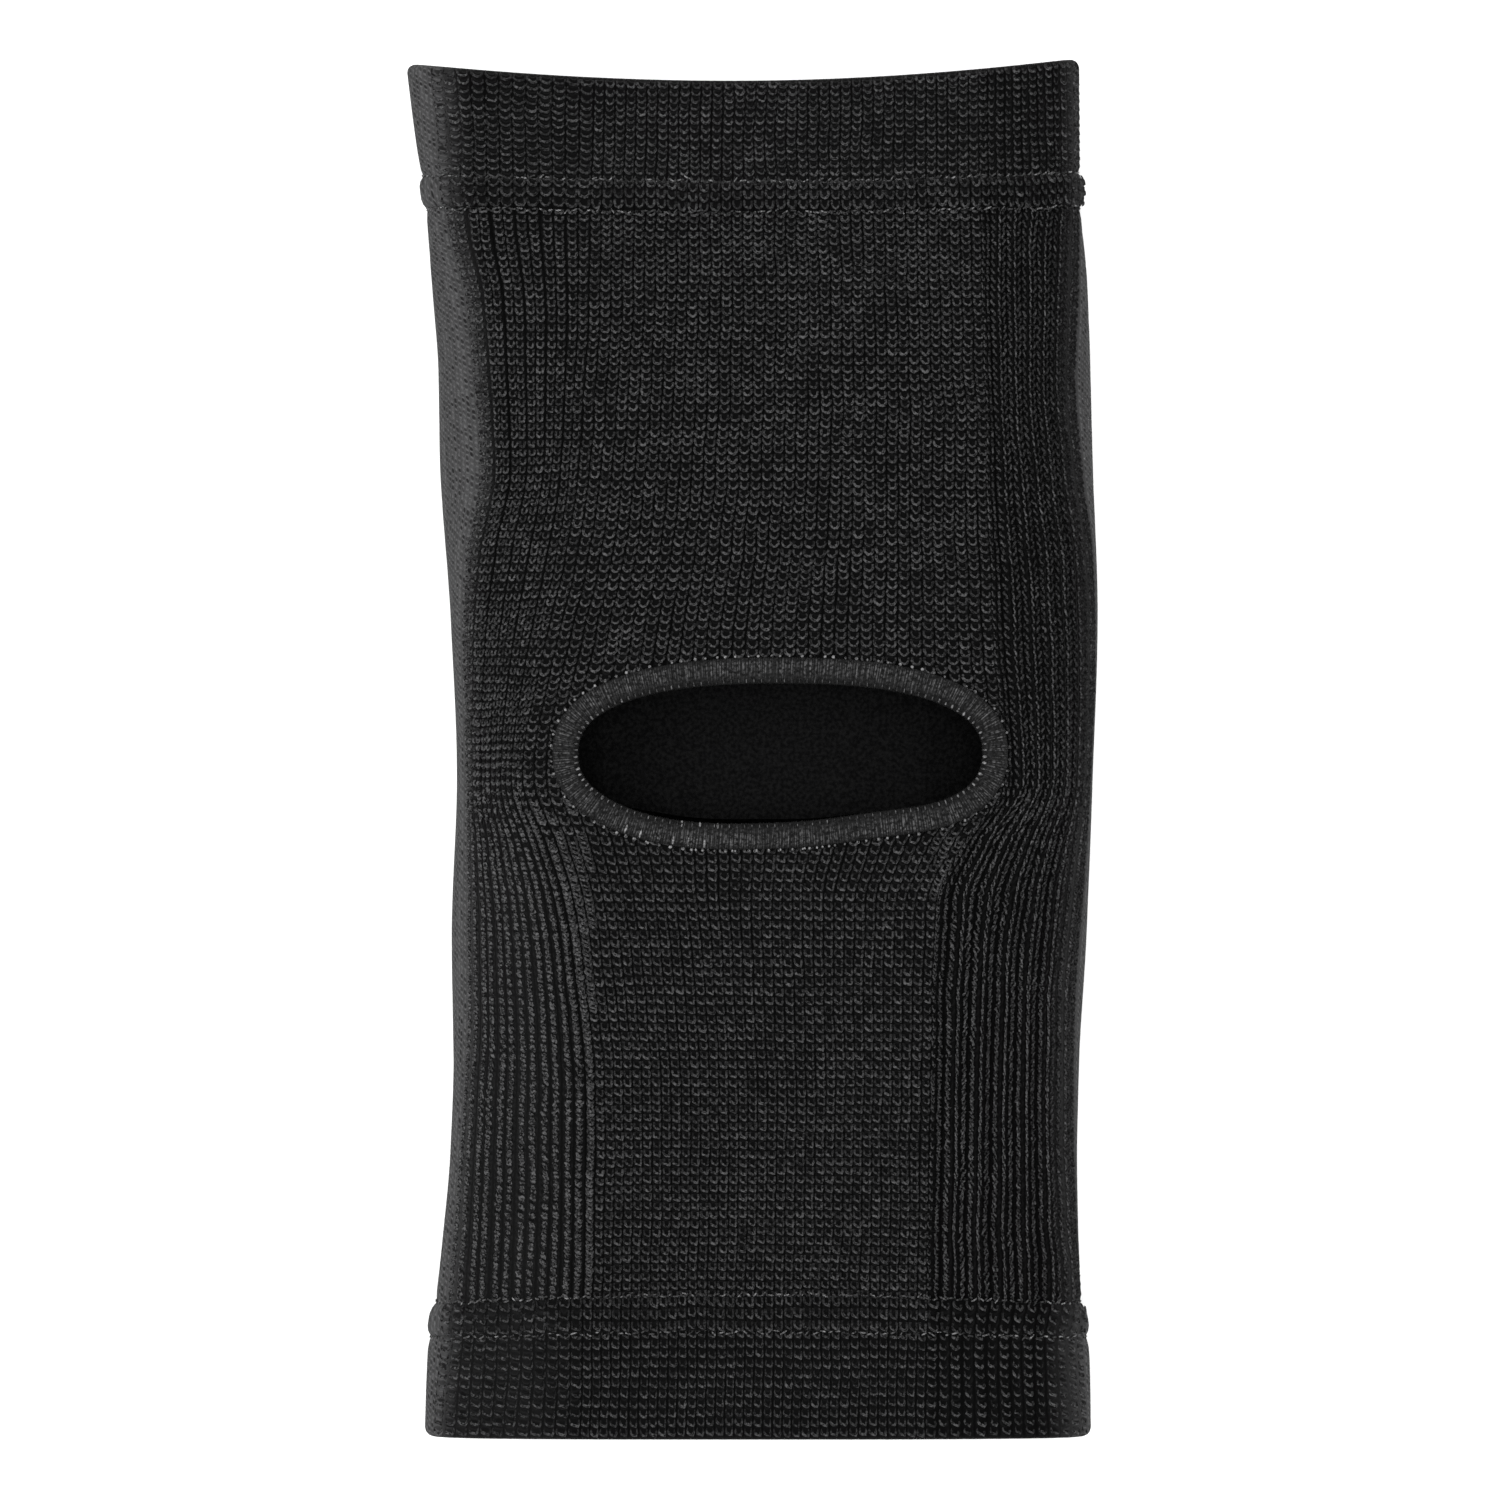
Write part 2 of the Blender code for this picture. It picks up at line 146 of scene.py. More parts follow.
def read(table, columns, name, at):
    """The named column read along the table's first one, by a curve that overshoots no row."""
    row = np.array(table, float)
    x = row[:, 0]
    y = row[:, columns.index(name)]
    rise = np.diff(y) / np.diff(x)
    before = np.concatenate([rise[:1], rise])
    after = np.concatenate([rise, rise[-1:]])
    same = before * after > 0
    slope = np.where(same, 2 * before * after / np.where(same, before + after, 1.0), 0.0)
    at = np.asarray(at, float)
    k = np.clip(np.searchsorted(x, at) - 1, 0, len(x) - 2)
    span = x[k + 1] - x[k]
    s = np.clip((at - x[k]) / span, 0.0, 1.0)
    start = (1 + 2 * s) * (1 - s) ** 2 * y[k] + s * (1 - s) ** 2 * span * slope[k]
    return start + s * s * (3 - 2 * s) * y[k + 1] + s * s * (s - 1) * span * slope[k + 1]


def sleeve_at(name, along):
    return float(read(SLEEVE, SLEEVE_COLUMNS, name, along))


def section(along):
    """Reach left and right, and the heights of top, under and fold at one station."""
    left, right = (sleeve_at(name, along) * WIDTH for name in ("left", "right"))
    top, under = (sleeve_at(name, along) * HEIGHT for name in ("top", "under"))
    return left, right, top, under, under + FOLD_HEIGHT * (top - under)


def quarter(reach, height, flat):
    """A quarter of the section from the fold to the middle: x, z and the direction that it faces."""
    core = reach - FOLD_RADIUS
    shoulder = (1 - flat) * core
    rise = height - FOLD_RADIUS
    facing = np.linspace(0, math.pi / 2, OUTLINE_SAMPLES)
    turn = np.arctan2(rise * np.sin(facing), shoulder * np.cos(facing))
    turn = np.sort(np.concatenate([turn, facing[1:-1]]))
    facing = np.arctan2(shoulder * np.sin(turn), rise * np.cos(turn))
    x = flat * core + shoulder * np.cos(turn) + FOLD_RADIUS * np.cos(facing)
    z = rise * np.sin(turn) + FOLD_RADIUS * np.sin(facing)
    return x, z, facing


def outline(along):
    """The section at one station as rows of x, z and facing, the distance walked from the left fold over
    the back, and where the zones of knitting start on that walk."""
    left, right, top, under, fold = section(along)
    parts = []
    for reach, height, flat, way, side, turned in (
        (left, top - fold, BACK_FLAT, 1, -1, False),
        (right, top - fold, BACK_FLAT, 1, 1, True),
        (right, fold - under, FRONT_FLAT, -1, 1, False),
        (left, fold - under, FRONT_FLAT, -1, -1, True),
    ):
        x, z, facing = quarter(reach, height, flat)
        rows = np.stack([side * x, fold + way * z, side * np.cos(facing), way * np.sin(facing)], axis=1)
        parts.append(rows[::-1] if turned else rows)
    rows = np.concatenate(parts)
    walked = np.concatenate([[0.0], np.cumsum(np.hypot(*np.diff(rows[:, :2], axis=0).T))])
    back = 2 * len(parts[0])
    marks = {}
    for name in ZONE_COLUMNS[1:]:
        side = -1 if name.endswith("left") else 1
        edge = side * float(read(ZONES, ZONE_COLUMNS, name, along)) * WIDTH
        marks[name] = float(np.interp(edge, rows[:back, 0], walked[:back]))
    return rows, walked, marks


def wale_places():
    """Every column of the knitted mesh: its zone, its wale within the zone and its wale round the tube."""
    places = []
    before = 0
    for zone, count, columns in (
        ("left", LEFT_WALES, LEFT_WALES * WALE_COLUMNS),
        ("panel", PANEL_WALES, PANEL_WALES * WALE_COLUMNS),
        ("right", RIGHT_WALES, RIGHT_WALES * WALE_COLUMNS),
        ("front", FRONT_WALES, FRONT_COLUMNS),
    ):
        places += [(zone, count * k / columns, before + count * k / columns) for k in range(columns)]
        before += count
    return places


PLACES = wale_places()
ALL_WALES = LEFT_WALES + PANEL_WALES + RIGHT_WALES + FRONT_WALES
ZONE_SPANS = {
    "left": ("jersey_left", "panel_left", LEFT_WALES),
    "panel": ("panel_left", "panel_right", PANEL_WALES),
    "right": ("panel_right", "jersey_right", RIGHT_WALES),
    "front": ("jersey_right", "jersey_left", FRONT_WALES),
}


def rib_line(line):
    """How strongly the line between two pairs of wales at the left shows: two of them show most."""
    return 1.0 if line in STRONG_LINES else WEAK_LINE


def relief(zone, wale):
    """How deep the cloth lies at a wale, and how much painted shade darkens its grooves there."""
    if zone == "left" or (zone == "panel" and wale < PANEL_RIBS):
        line = round(wale / 2) * 2
        beside = rib_line(line) if abs(wale - line) < LINE_REACH else 0.0
        shown = 1.0 if zone == "left" else PANEL_RIB_SHARE
        return shown * LEFT_GROOVE * max(beside, BETWEEN_LINES), LEFT_GROOVE_SHADE * shown * beside
    if zone == "panel":
        return WALE_RELIEF * (0.5 + 0.5 * math.cos(2 * math.pi * wale)), 0.0
    if zone == "right":
        valley = (0.5 - 0.5 * math.cos(math.pi * wale)) ** 0.7
        return RIGHT_GROOVE * valley, RIGHT_GROOVE_SHADE * valley
    return 0.0, 0.0


def below_vent(y):
    """How far a place lies into the finer knit below the vent, from 0 to 1."""
    return max(0.0, min(1.0, -y / FINE_REACH))


def rib_share(zone, y):
    """How much of the ribs shows at a height: those at the left fade out below the vent."""
    return 1.0 if zone == "right" else 1 - LOW_RIB_LOSS * below_vent(y)


def jersey_share(zone, wale, y):
    """How much of the fine jersey shows at a wale: it fades out over the first ribs on either side, and a
    little of it shows in the left ribs below the vent. The pale fade is partly the real change of knit and
    partly painted light, lighter on the curve of the folds."""
    if zone in ("front", "panel"):
        return 1.0 if zone == "front" else 0.0
    into = wale if zone == "left" else RIGHT_WALES - wale
    low = 0.0
    if zone == "left":
        low = LOW_JERSEY * below_vent(y) * min(1.0, (LEFT_WALES - wale) / LOW_JERSEY_WALES)
    return max(low, max(0.0, 1 - into / JERSEY_FADE[zone]) ** 1.5)


def lead(along, x):
    """How far a round of knitting runs ahead of its station at a place across."""
    left, right = section(along)[:2]
    across = np.clip(x / np.where(x > 0, right, left), -1, 1)
    bow, tilt = (sleeve_at(name, along) * LENGTH for name in ("bow", "tilt"))
    return bow * (1 - across * across) - tilt * (1 - across) / 2


def seam_pull(y):
    """How far the stitches of both hems pull the cloth in at a place along the sleeve."""
    pull = 0.0
    for line in (THIGH_LINE, CALF_LINE):
        for row in (line - HALF_SEAM, line + HALF_SEAM):
            pull = pull + SEAM_PULL * np.exp(-((y - row) / SEAM_PULL_REACH) ** 2)
    return pull


def knit_round(along, depth, ribbing=1.0, sink=0.0):
    """One round of points and the directions that they face, set into the cloth by a depth, and by a sink
    more where loops stand on it."""
    rows, walked, marks = outline(along)
    whole = walked[-1]
    walks = []
    sinks = []
    for zone, wale, turn in PLACES:
        first, last, count = ZONE_SPANS[zone]
        start, end = marks[first], marks[last]
        end = end + whole if zone == "front" else end
        walks.append((start + (end - start) * wale / count) % whole)
        ribs = ribbing * rib_share(zone, (along - 0.5) * LENGTH)
        sinks.append(ribs * relief(zone, wale)[0] + (0.0 if zone == "front" else sink))
    walks = np.array(walks)
    x, z, nx, nz = (np.interp(walks, walked, rows[:, k]) for k in range(4))
    size = np.hypot(nx, nz)
    inset = depth + np.array(sinks) + seam_pull((along - 0.5) * LENGTH)
    y = (along - 0.5) * LENGTH + lead(along, x)
    points = np.stack([x - inset * nx / size, y, z - inset * nz / size], axis=1)
    return points, np.stack([nx / size, 0 * x, nz / size], axis=1)


def course_of(along):
    """The number of the course at a station: the loops are shorter above the vent than below it."""
    above = max(0.0, along - 0.5)
    return (along - above) * LENGTH / COURSE_LOW + above * LENGTH / COURSE_HIGH


def add_object(name, data):
    made = bpy.data.objects.new(name, data)
    bpy.context.collection.objects.link(made)
    return made


def select_alone(obj):
    bpy.ops.object.select_all(action="DESELECT")
    obj.select_set(True)
    bpy.context.view_layer.objects.active = obj


def mesh_object(name, points, faces, material):
    """A smooth mesh of points and faces, as an object in one material."""
    mesh = bpy.data.meshes.new(name)
    mesh.from_pydata([tuple(p) for p in points], [], faces)
    mesh.shade_smooth()
    mesh.materials.append(material)
    return add_object(name, mesh)


def paint(obj, label, values):
    """Gives each point of a piece the value that its material reads there, or all of them the same one."""
    attribute = obj.data.attributes.new(label, "FLOAT", "POINT")
    spread = np.broadcast_to(np.array(values, np.float32), len(obj.data.vertices))
    attribute.data.foreach_set("value", spread.copy())


def knit_mesh(name, rounds, courses, material, closed=False):
    """A knitted tube through rounds of points, with its wale and course in the UVs and the zones as
    attributes of its points."""
    count = len(PLACES)
    points = np.concatenate(rounds)
    rows = len(rounds)
    faces = []
    uvs = []
    turns = [turn for zone, wale, turn in PLACES] + [ALL_WALES]
    for r in range(rows if closed else rows - 1):
        n = (r + 1) % rows
        for k in range(count):
            m = (k + 1) % count
            faces.append((r * count + k, r * count + m, n * count + m, n * count + k))
            uvs += [(turns[k], courses[r]), (turns[k + 1], courses[r]),
                    (turns[k + 1], courses[r + 1]), (turns[k], courses[r + 1])]
    obj = mesh_object(name, points, faces, material)
    layer = obj.data.uv_layers.new(name="knit")
    layer.data.foreach_set("uv", np.array(uvs, np.float32).ravel())
    heights = [points[:, 1].mean() for points in rounds]
    jersey = [jersey_share(zone, wale, y) for y in heights for zone, wale, turn in PLACES]
    # Painted shade for the grooves of the ribs, which the knit material reads.
    groove_shade = [relief(zone, wale)[1] * rib_share(zone, y) for y in heights for zone, wale, turn in PLACES]
    paint(obj, "jersey", jersey)
    paint(obj, "groove_shade", groove_shade)
    return obj


def node(tree, kind, numbers=(), **settings):
    """A node with its settings, and the numbers of some of its sockets by name."""
    made = tree.nodes.new(kind)
    for key, value in settings.items():
        setattr(made, key, value)
    for key, value in dict(numbers).items():
        made.inputs[key].default_value = value
    return made


def calc(tree, operation, *inputs, clamp=False):
    """A Math node on sockets or numbers, and its output."""
    made = node(tree, "ShaderNodeMath", operation=operation, use_clamp=clamp)
    for socket, value in zip(made.inputs, inputs):
        if isinstance(value, (int, float)):
            socket.default_value = value
        else:
            tree.links.new(value, socket)
    return made.outputs[0]


def ramp(tree, value, low, high):
    """A smooth step from 0 at low to 1 at high."""
    span = {"From Min": low, "From Max": high}
    made = node(tree, "ShaderNodeMapRange", span, interpolation_type="SMOOTHSTEP")
    tree.links.new(value, made.inputs["Value"])
    return made.outputs["Result"]


def mix(tree, factor, first, second):
    """The first colour at a factor of 0 and the second at 1."""
    made = node(tree, "ShaderNodeMix", data_type="RGBA")
    tree.links.new(factor, made.inputs["Factor"])
    for socket, value in ((made.inputs["A"], first), (made.inputs["B"], second)):
        if isinstance(value, tuple):
            socket.default_value = (*value, 1.0)
        else:
            tree.links.new(value, socket)
    return made.outputs["Result"]


def painted(tree, label):
    """The value that paint() gave the points of the piece."""
    return node(tree, "ShaderNodeAttribute", attribute_name=label).outputs["Fac"]


def noise(tree, scale, detail=2.0):
    """Noise on the piece's own coordinates."""
    made = node(tree, "ShaderNodeTexNoise", {"Scale": scale, "Detail": detail})
    tree.links.new(node(tree, "ShaderNodeTexCoord").outputs["Object"], made.inputs["Vector"])
    return made


def cell_chance(tree, wale, course):
    """A number from 0 to 1 by chance for each loop of the knit."""
    cell = node(tree, "ShaderNodeCombineXYZ")
    tree.links.new(calc(tree, "FLOOR", wale), cell.inputs[0])
    tree.links.new(calc(tree, "FLOOR", course), cell.inputs[1])
    chance = node(tree, "ShaderNodeTexWhiteNoise", noise_dimensions="2D")
    tree.links.new(cell.outputs[0], chance.inputs["Vector"])
    return chance.outputs["Value"]


def new_material(name):
    """A new material and its shader."""
    material = bpy.data.materials.new(name)
    material.use_nodes = True
    return material, material.node_tree.nodes["Principled BSDF"]


def finish(shader, height, strength, distance, roughness, specular, sheen=0.0, sheen_roughness=0.5):
    """Raises a material's surface by a height and sets how it shines."""
    tree = shader.id_data
    bump = node(tree, "ShaderNodeBump", {"Strength": strength, "Distance": distance})
    tree.links.new(height, bump.inputs["Height"])
    tree.links.new(bump.outputs["Normal"], shader.inputs["Normal"])
    shader.inputs["Roughness"].default_value = roughness
    shader.inputs["Specular IOR Level"].default_value = specular
    shader.inputs["Sheen Weight"].default_value = sheen
    shader.inputs["Sheen Roughness"].default_value = sheen_roughness


def knit_material(name, yarn, gap_shade, jersey_yarn, loop_width, loop_height):
    """Black yarn in rows of loops that open upwards: a bright arc of yarn in each cell, with painted shade
    between the wales and inside the loops, and a finer, paler knit with dark specks where the jersey
    attribute is 1."""
    material, shader = new_material(name)
    tree = material.node_tree
    split = node(tree, "ShaderNodeSeparateXYZ")
    tree.links.new(node(tree, "ShaderNodeUVMap", uv_map="knit").outputs["UV"], split.inputs[0])
    shift = node(tree, "ShaderNodeSeparateColor")
    tree.links.new(noise(tree, 620, 1.5).outputs["Color"], shift.inputs[0])
    fibre = noise(tree, 2600).outputs["Fac"]
    jersey = painted(tree, "jersey")

    # The loops of the back, each an arc in its cell.
    sideways = calc(tree, "MULTIPLY_ADD", shift.outputs[0], 0.30, -0.15)
    endways = calc(tree, "MULTIPLY_ADD", shift.outputs[1], 0.36, -0.18)
    wale = calc(tree, "ADD", split.outputs["X"], sideways)
    course = calc(tree, "ADD", split.outputs["Y"], endways)
    across = calc(tree, "SUBTRACT", calc(tree, "FRACT", wale), 0.5)
    upward = calc(tree, "SUBTRACT", calc(tree, "FRACT", course), 0.58)
    wide = calc(tree, "DIVIDE", across, loop_width)
    high = calc(tree, "DIVIDE", upward, loop_height)
    squares = [calc(tree, "MULTIPLY", side, side) for side in (wide, high)]
    reach = calc(tree, "SQRT", calc(tree, "ADD", *squares))
    off = calc(tree, "ABSOLUTE", calc(tree, "SUBTRACT", reach, 1.0))
    loop = calc(tree, "MULTIPLY", ramp(tree, off, 0.42, 0.05), ramp(tree, upward, 0.34, -0.08))
    chance = calc(tree, "POWER", cell_chance(tree, wale, course), 2.0)
    lively = calc(tree, "MULTIPLY_ADD", chance, 1.1, 0.45)
    fuzzy = calc(tree, "MULTIPLY_ADD", fibre, 1.6, 0.15)
    bright = calc(tree, "MULTIPLY", calc(tree, "MULTIPLY", loop, lively), fuzzy, clamp=True)
    # Painted shade: darker between the wales, and in the rib grooves by the painted groove shade of the
    # points.
    between = ramp(tree, calc(tree, "ABSOLUTE", across), 0.36, 0.47)
    dark = calc(tree, "MAXIMUM", calc(tree, "MULTIPLY", between, 0.75), painted(tree, "groove_shade"))
    back = mix(tree, dark, mix(tree, bright, tuple(0.42 * c for c in yarn), yarn), gap_shade)

    # The jersey: pale wales side by side, with a dark speck in each of its small, slanting cells.
    step = calc(tree, "MULTIPLY", calc(tree, "FLOOR", wale), 0.5)
    fine = calc(tree, "ADD", calc(tree, "MULTIPLY", split.outputs["Y"], JERSEY_COURSES), step)
    fine = calc(tree, "ADD", fine, calc(tree, "MULTIPLY_ADD", shift.outputs[1], 0.9, -0.45))
    speck_up = calc(tree, "SUBTRACT", calc(tree, "FRACT", fine), 0.5)
    slant = calc(tree, "ADD", across, calc(tree, "MULTIPLY", speck_up, 0.35))
    far_across = calc(tree, "POWER", calc(tree, "ABSOLUTE", calc(tree, "MULTIPLY", slant, 2.5)), 2.0)
    far_up = calc(tree, "POWER", calc(tree, "ABSOLUTE", calc(tree, "MULTIPLY", speck_up, 2.0)), 2.0)
    speck = ramp(tree, calc(tree, "ADD", far_across, far_up), 1.1, 0.2)
    luck = calc(tree, "MULTIPLY_ADD", cell_chance(tree, wale, fine), 0.7, 0.3)
    hole = calc(tree, "MULTIPLY", speck, luck)
    column = node(tree, "ShaderNodeTexWhiteNoise", noise_dimensions="1D")
    tree.links.new(calc(tree, "FLOOR", split.outputs["X"]), column.inputs["W"])
    wave = calc(tree, "COSINE", calc(tree, "MULTIPLY", across, 2 * math.pi))
    streak = calc(tree, "MULTIPLY_ADD", wave, 0.30, 0.72)
    streak = calc(tree, "MULTIPLY", streak, calc(tree, "MULTIPLY_ADD", column.outputs["Value"], 0.42, 0.76))
    streak = calc(tree, "MULTIPLY", streak, calc(tree, "MULTIPLY_ADD", fibre, 0.9, 0.55))
    smooth = mix(tree, streak, tuple(0.15 * c for c in jersey_yarn), jersey_yarn)
    smooth = mix(tree, hole, smooth, tuple(0.12 * c for c in jersey_yarn))

    tree.links.new(mix(tree, jersey, back, smooth), shader.inputs["Base Color"])
    valley = calc(tree, "MULTIPLY", between, 0.6)
    height = calc(tree, "SUBTRACT", calc(tree, "MULTIPLY", loop, fuzzy), valley)
    height = calc(tree, "SUBTRACT", height, calc(tree, "MULTIPLY", hole, jersey))
    finish(shader, height, strength=0.7, distance=0.00025, roughness=0.78, specular=0.02,
           sheen=0.02, sheen_roughness=0.45)
    return material


def vent_edge(turns, offset):
    """The vent's lip from above, moved outwards by an offset, as x and y at each turn in radians."""
    c, s = np.cos(turns), np.sin(turns)
    droop = 1 + 0.05 * np.exp(-((c + 0.55) / 0.40) ** 2) - 0.10 * np.exp(-((c - 0.42) / 0.33) ** 2)
    lift = np.where(s < 0, droop, 1.0)
    x = np.sign(c) * np.abs(c) ** (2 / VENT_ROUND) * VENT_LENGTH / 2
    y = np.sign(s) * np.abs(s) ** (2 / VENT_ROUND) * VENT_WIDTH / 2 * lift
    lip = np.stack([x, y], axis=1)
    ahead = np.roll(lip, -1, axis=0) - np.roll(lip, 1, axis=0)
    out = np.stack([ahead[:, 1], -ahead[:, 0]], axis=1)
    out = out / np.linalg.norm(out, axis=1)[:, None]
    return lip + offset * out + [VENT_X, VENT_Y]


def in_vent(x, y, offset):
    """Whether a place lies in the vent widened by an offset."""
    across = np.abs(x - VENT_X) / (VENT_LENGTH / 2 + offset)
    upward = np.abs(y - VENT_Y) / (VENT_WIDTH / 2 + offset)
    return across ** VENT_ROUND + upward ** VENT_ROUND < 1


# The knit of the back: its gap colour is painted shade between the wales.
knit = knit_material(
    "black_knit", yarn=(0.0040, 0.0040, 0.0041), gap_shade=(0.0004, 0.0004, 0.0004),
    jersey_yarn=(0.066, 0.066, 0.067), loop_width=0.33, loop_height=0.50,
)
stations = np.linspace(0.5 + CALF_LINE / LENGTH, 0.5 + THIGH_LINE / LENGTH, SLEEVE_ROWS)
rounds = [knit_round(at, 0.0, sink=LOOP_SINK)[0] for at in stations]
sleeve = knit_mesh("sleeve_knit", rounds, [course_of(at) for at in stations], knit)
bm = bmesh.new()
bm.from_mesh(sleeve.data)
inside = []
for face in bm.faces:
    centre = face.calc_center_median()
    if centre.z > CUT_ABOVE * HEIGHT and in_vent(centre.x, centre.y, CUT_OFFSET):
        inside.append(face)
bmesh.ops.delete(bm, geom=inside, context="FACES")
bm.to_mesh(sleeve.data)
bm.free()
select_alone(sleeve)
wall = sleeve.modifiers.new("wall", "SOLIDIFY")
wall.thickness = WALL
wall.offset = -1
bpy.ops.object.modifier_apply(modifier=wall.name)
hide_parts("sleeve_body")
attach(sleeve, "root")


# Loops
# The yarn of the back stands up in loops, each hung over the one below: a U of yarn whose bend lies on top
# and whose two ends dive under the next. The wales stand in pairs at the left, and thin chains run at the
# right. Each loop is a ribbon of seven points along and three across.

LOOP = np.array([
    (-0.39, 0.58, -0.10), (-0.43, 0.22, 0.09), (-0.28, -0.10, 0.19), (-0.02, -0.25, 0.25),
    (0.22, -0.19, 0.21), (0.39, 0.14, 0.11), (0.37, 0.52, -0.10),
])
LOW_LOOP = np.array([
    (-0.36, 0.40, -0.12), (-0.38, 0.10, 0.05), (-0.30, -0.14, 0.17), (0.0, -0.26, 0.25),
    (0.29, -0.36, 0.21), (0.38, -0.02, 0.09), (0.36, 0.40, -0.12),
])
RIB_LOOP = np.array([
    (-0.34, 0.46, -0.10), (-0.37, 0.12, 0.08), (-0.26, -0.18, 0.18), (0.0, -0.28, 0.24),
    (0.27, -0.24, 0.19), (0.38, 0.06, 0.09), (0.34, 0.44, -0.10),
])
CHAIN_LOOP = np.array([
    (-0.14, 0.52, -0.05), (-0.22, 0.33, 0.08), (-0.12, 0.13, 0.15), (0.02, -0.03, 0.18),
    (0.13, -0.20, 0.16), (0.20, -0.36, 0.10), (0.12, -0.50, -0.04),
])
# Painted light and shade along each loop: brightest at the bend on top, darker towards the ends that dive
# under the next loop.
LOOP_LIGHT_AND_SHADE = np.array([0.42, 0.68, 1.00, 1.15, 1.00, 0.64, 0.40])
LOW_LIGHT_AND_SHADE = np.array([0.25, 0.42, 0.85, 1.25, 1.10, 0.55, 0.30])
SIDE_LIGHT_AND_SHADE = np.array([0.40, 0.80, 1.05, 1.15, 1.05, 0.80, 0.40])
LOOP_POINTS = len(LOOP)
RIBBON_POINTS = 3 * LOOP_POINTS
LOOP_SIZE = 0.001
LOW_FADE = 12
PAIRED = 0.08
DASH_SHAPE = (0.55, 0.45, 1.00)
LOW_CHAIN_SHAPE = (0.60, 1.00, 1.00)
YARN_HALF = 0.00024
YARN_CROWN = 0.00016
FIELD_STEP = 0.5
FIELD_EDGE = 1.001
BACK_WALES = LEFT_WALES + PANEL_WALES + RIGHT_WALES
MIDDLE_COURSE = 0.5 * LENGTH / COURSE_LOW
WANDER_ROUNDS = 5
SLEEVE_LOOPS_FROM = CALF_LINE + 0.85 * HALF_SEAM
SLEEVE_LOOPS_TO = THIGH_LINE - 0.85 * HALF_SEAM
BINDING_WIDTH = 0.0046
BINDING_LAP = 0.0004
SIDE_LOOPS = (-0.0280, 0.0325)
SIDE_LOOPS_TOP = -0.006
SIDE_LOOPS_FADE = 0.014


def station_of(course):
    """The stations of courses, as course_of read backwards."""
    high = 0.5 + (course - MIDDLE_COURSE) * COURSE_HIGH / LENGTH
    return np.clip(np.where(course < MIDDLE_COURSE, course * COURSE_LOW / LENGTH, high), 0, 1)


def wander(rows, columns, size):
    """Slow uneven drift over wales and courses, the same in each run."""
    drift = rng.normal(0, 1, (rows, columns))
    for turn in range(WANDER_ROUNDS):
        along = drift + np.roll(drift, 1, 0) + np.roll(drift, -1, 0)
        drift = (along + np.roll(drift, 1, 1) + np.roll(drift, -1, 1)) / 5
    return drift / drift.std() * size


def loop_columns(plain):
    """Every column of loops on the back: its middle in wales, its width, its depth, its tone, how wild it
    is and which way its legs lean. A plain knit has no thin chains at the right."""
    columns = []
    for k in range(LEFT_WALES):
        shown = max(0.0, 1 - k / 3)
        if plain:
            columns.append((k + 0.5, 1.0, 0.0, 0.66 + 0.3 * shown, 0.06, 1))
            continue
        way = 1 - 2 * (k % 2)
        apart = PAIRED * way * rib_line(k + k % 2)
        columns.append((k + 0.5 + apart, 0.80, 0.1 * LEFT_GROOVE, 0.86 + 0.35 * shown, 0.07, way))
    for k in range(PANEL_WALES):
        columns.append((LEFT_WALES + k + 0.5, 0.88, 0.0, 0.76 if plain else 0.92, 0.05, 1))
    for k in range(RIGHT_WALES // 2):
        start = LEFT_WALES + PANEL_WALES + 2 * k
        if plain:
            columns.append((start + 0.5, 1.0, 0.0, 0.70, 0.06, 1))
            columns.append((start + 1.5, 1.0, 0.3 * RIGHT_GROOVE, 0.54, 0.08, -1))
            continue
        faint = 1 - 0.45 * max(0.0, (k - 3) / 3)
        first = 1.35 if k < 2 else 1.0
        columns.append((start + 0.12, 0.34, 0.0, 0.95 * faint, 0.06, 1))
        columns.append((start + 0.72, 0.72, 0.5 * RIGHT_GROOVE, 0.44 * faint * first, 0.12, -1))
        columns.append((start + 1.42, 0.78, 0.5 * RIGHT_GROOVE, 0.48 * faint * first, 0.12, 1))
    return columns


def yarn_material():
    """Black textured yarn: fine filaments along it, uneven tone from loop to loop and a soft sheen."""
    material, shader = new_material("black_yarn")
    tree = material.node_tree
    fibre = ramp(tree, noise(tree, 2400).outputs["Fac"], 0.34, 0.68)
    lit = calc(tree, "MULTIPLY", painted(tree, "tone"), fibre)
    colour = mix(tree, lit, (0.0008, 0.0008, 0.0009), (0.068, 0.068, 0.069))
    tree.links.new(colour, shader.inputs["Base Color"])
    ply = {"Scale": 1.6, "Distortion": 1.5}
    twist = node(tree, "ShaderNodeTexWave", ply, wave_type="BANDS", bands_direction="DIAGONAL")
    tree.links.new(node(tree, "ShaderNodeUVMap", uv_map="yarn").outputs["UV"], twist.inputs["Vector"])
    finish(shader, twist.outputs["Fac"], strength=0.5, distance=0.00006, roughness=0.62, specular=0.06,
           sheen=0.03, sheen_roughness=0.4)
    return material


def blend(first, second, share):
    """The first at a share of 0 and the second at 1."""
    return first * (1 - share) + second * share


def no_lift(y):
    """The lift of loops that stand on the cloth itself."""
    return 0.0 * y


def everywhere(x, y):
    return np.ones(len(x), bool)


def clear_of_binding(x, y):
    return ~in_vent(x, y, BINDING_WIDTH - BINDING_LAP)


def beside_low_panel(x, y):
    """Where loops stand in the denser knit beside the panel below the vent, which thins out upwards."""
    beside = ((x < SIDE_LOOPS[0]) | (x > SIDE_LOOPS[1])) & ~in_vent(x, y, BINDING_WIDTH)
    return beside & (rng.random(len(x)) < np.clip((SIDE_LOOPS_TOP - y) / SIDE_LOOPS_FADE, 0, 1))


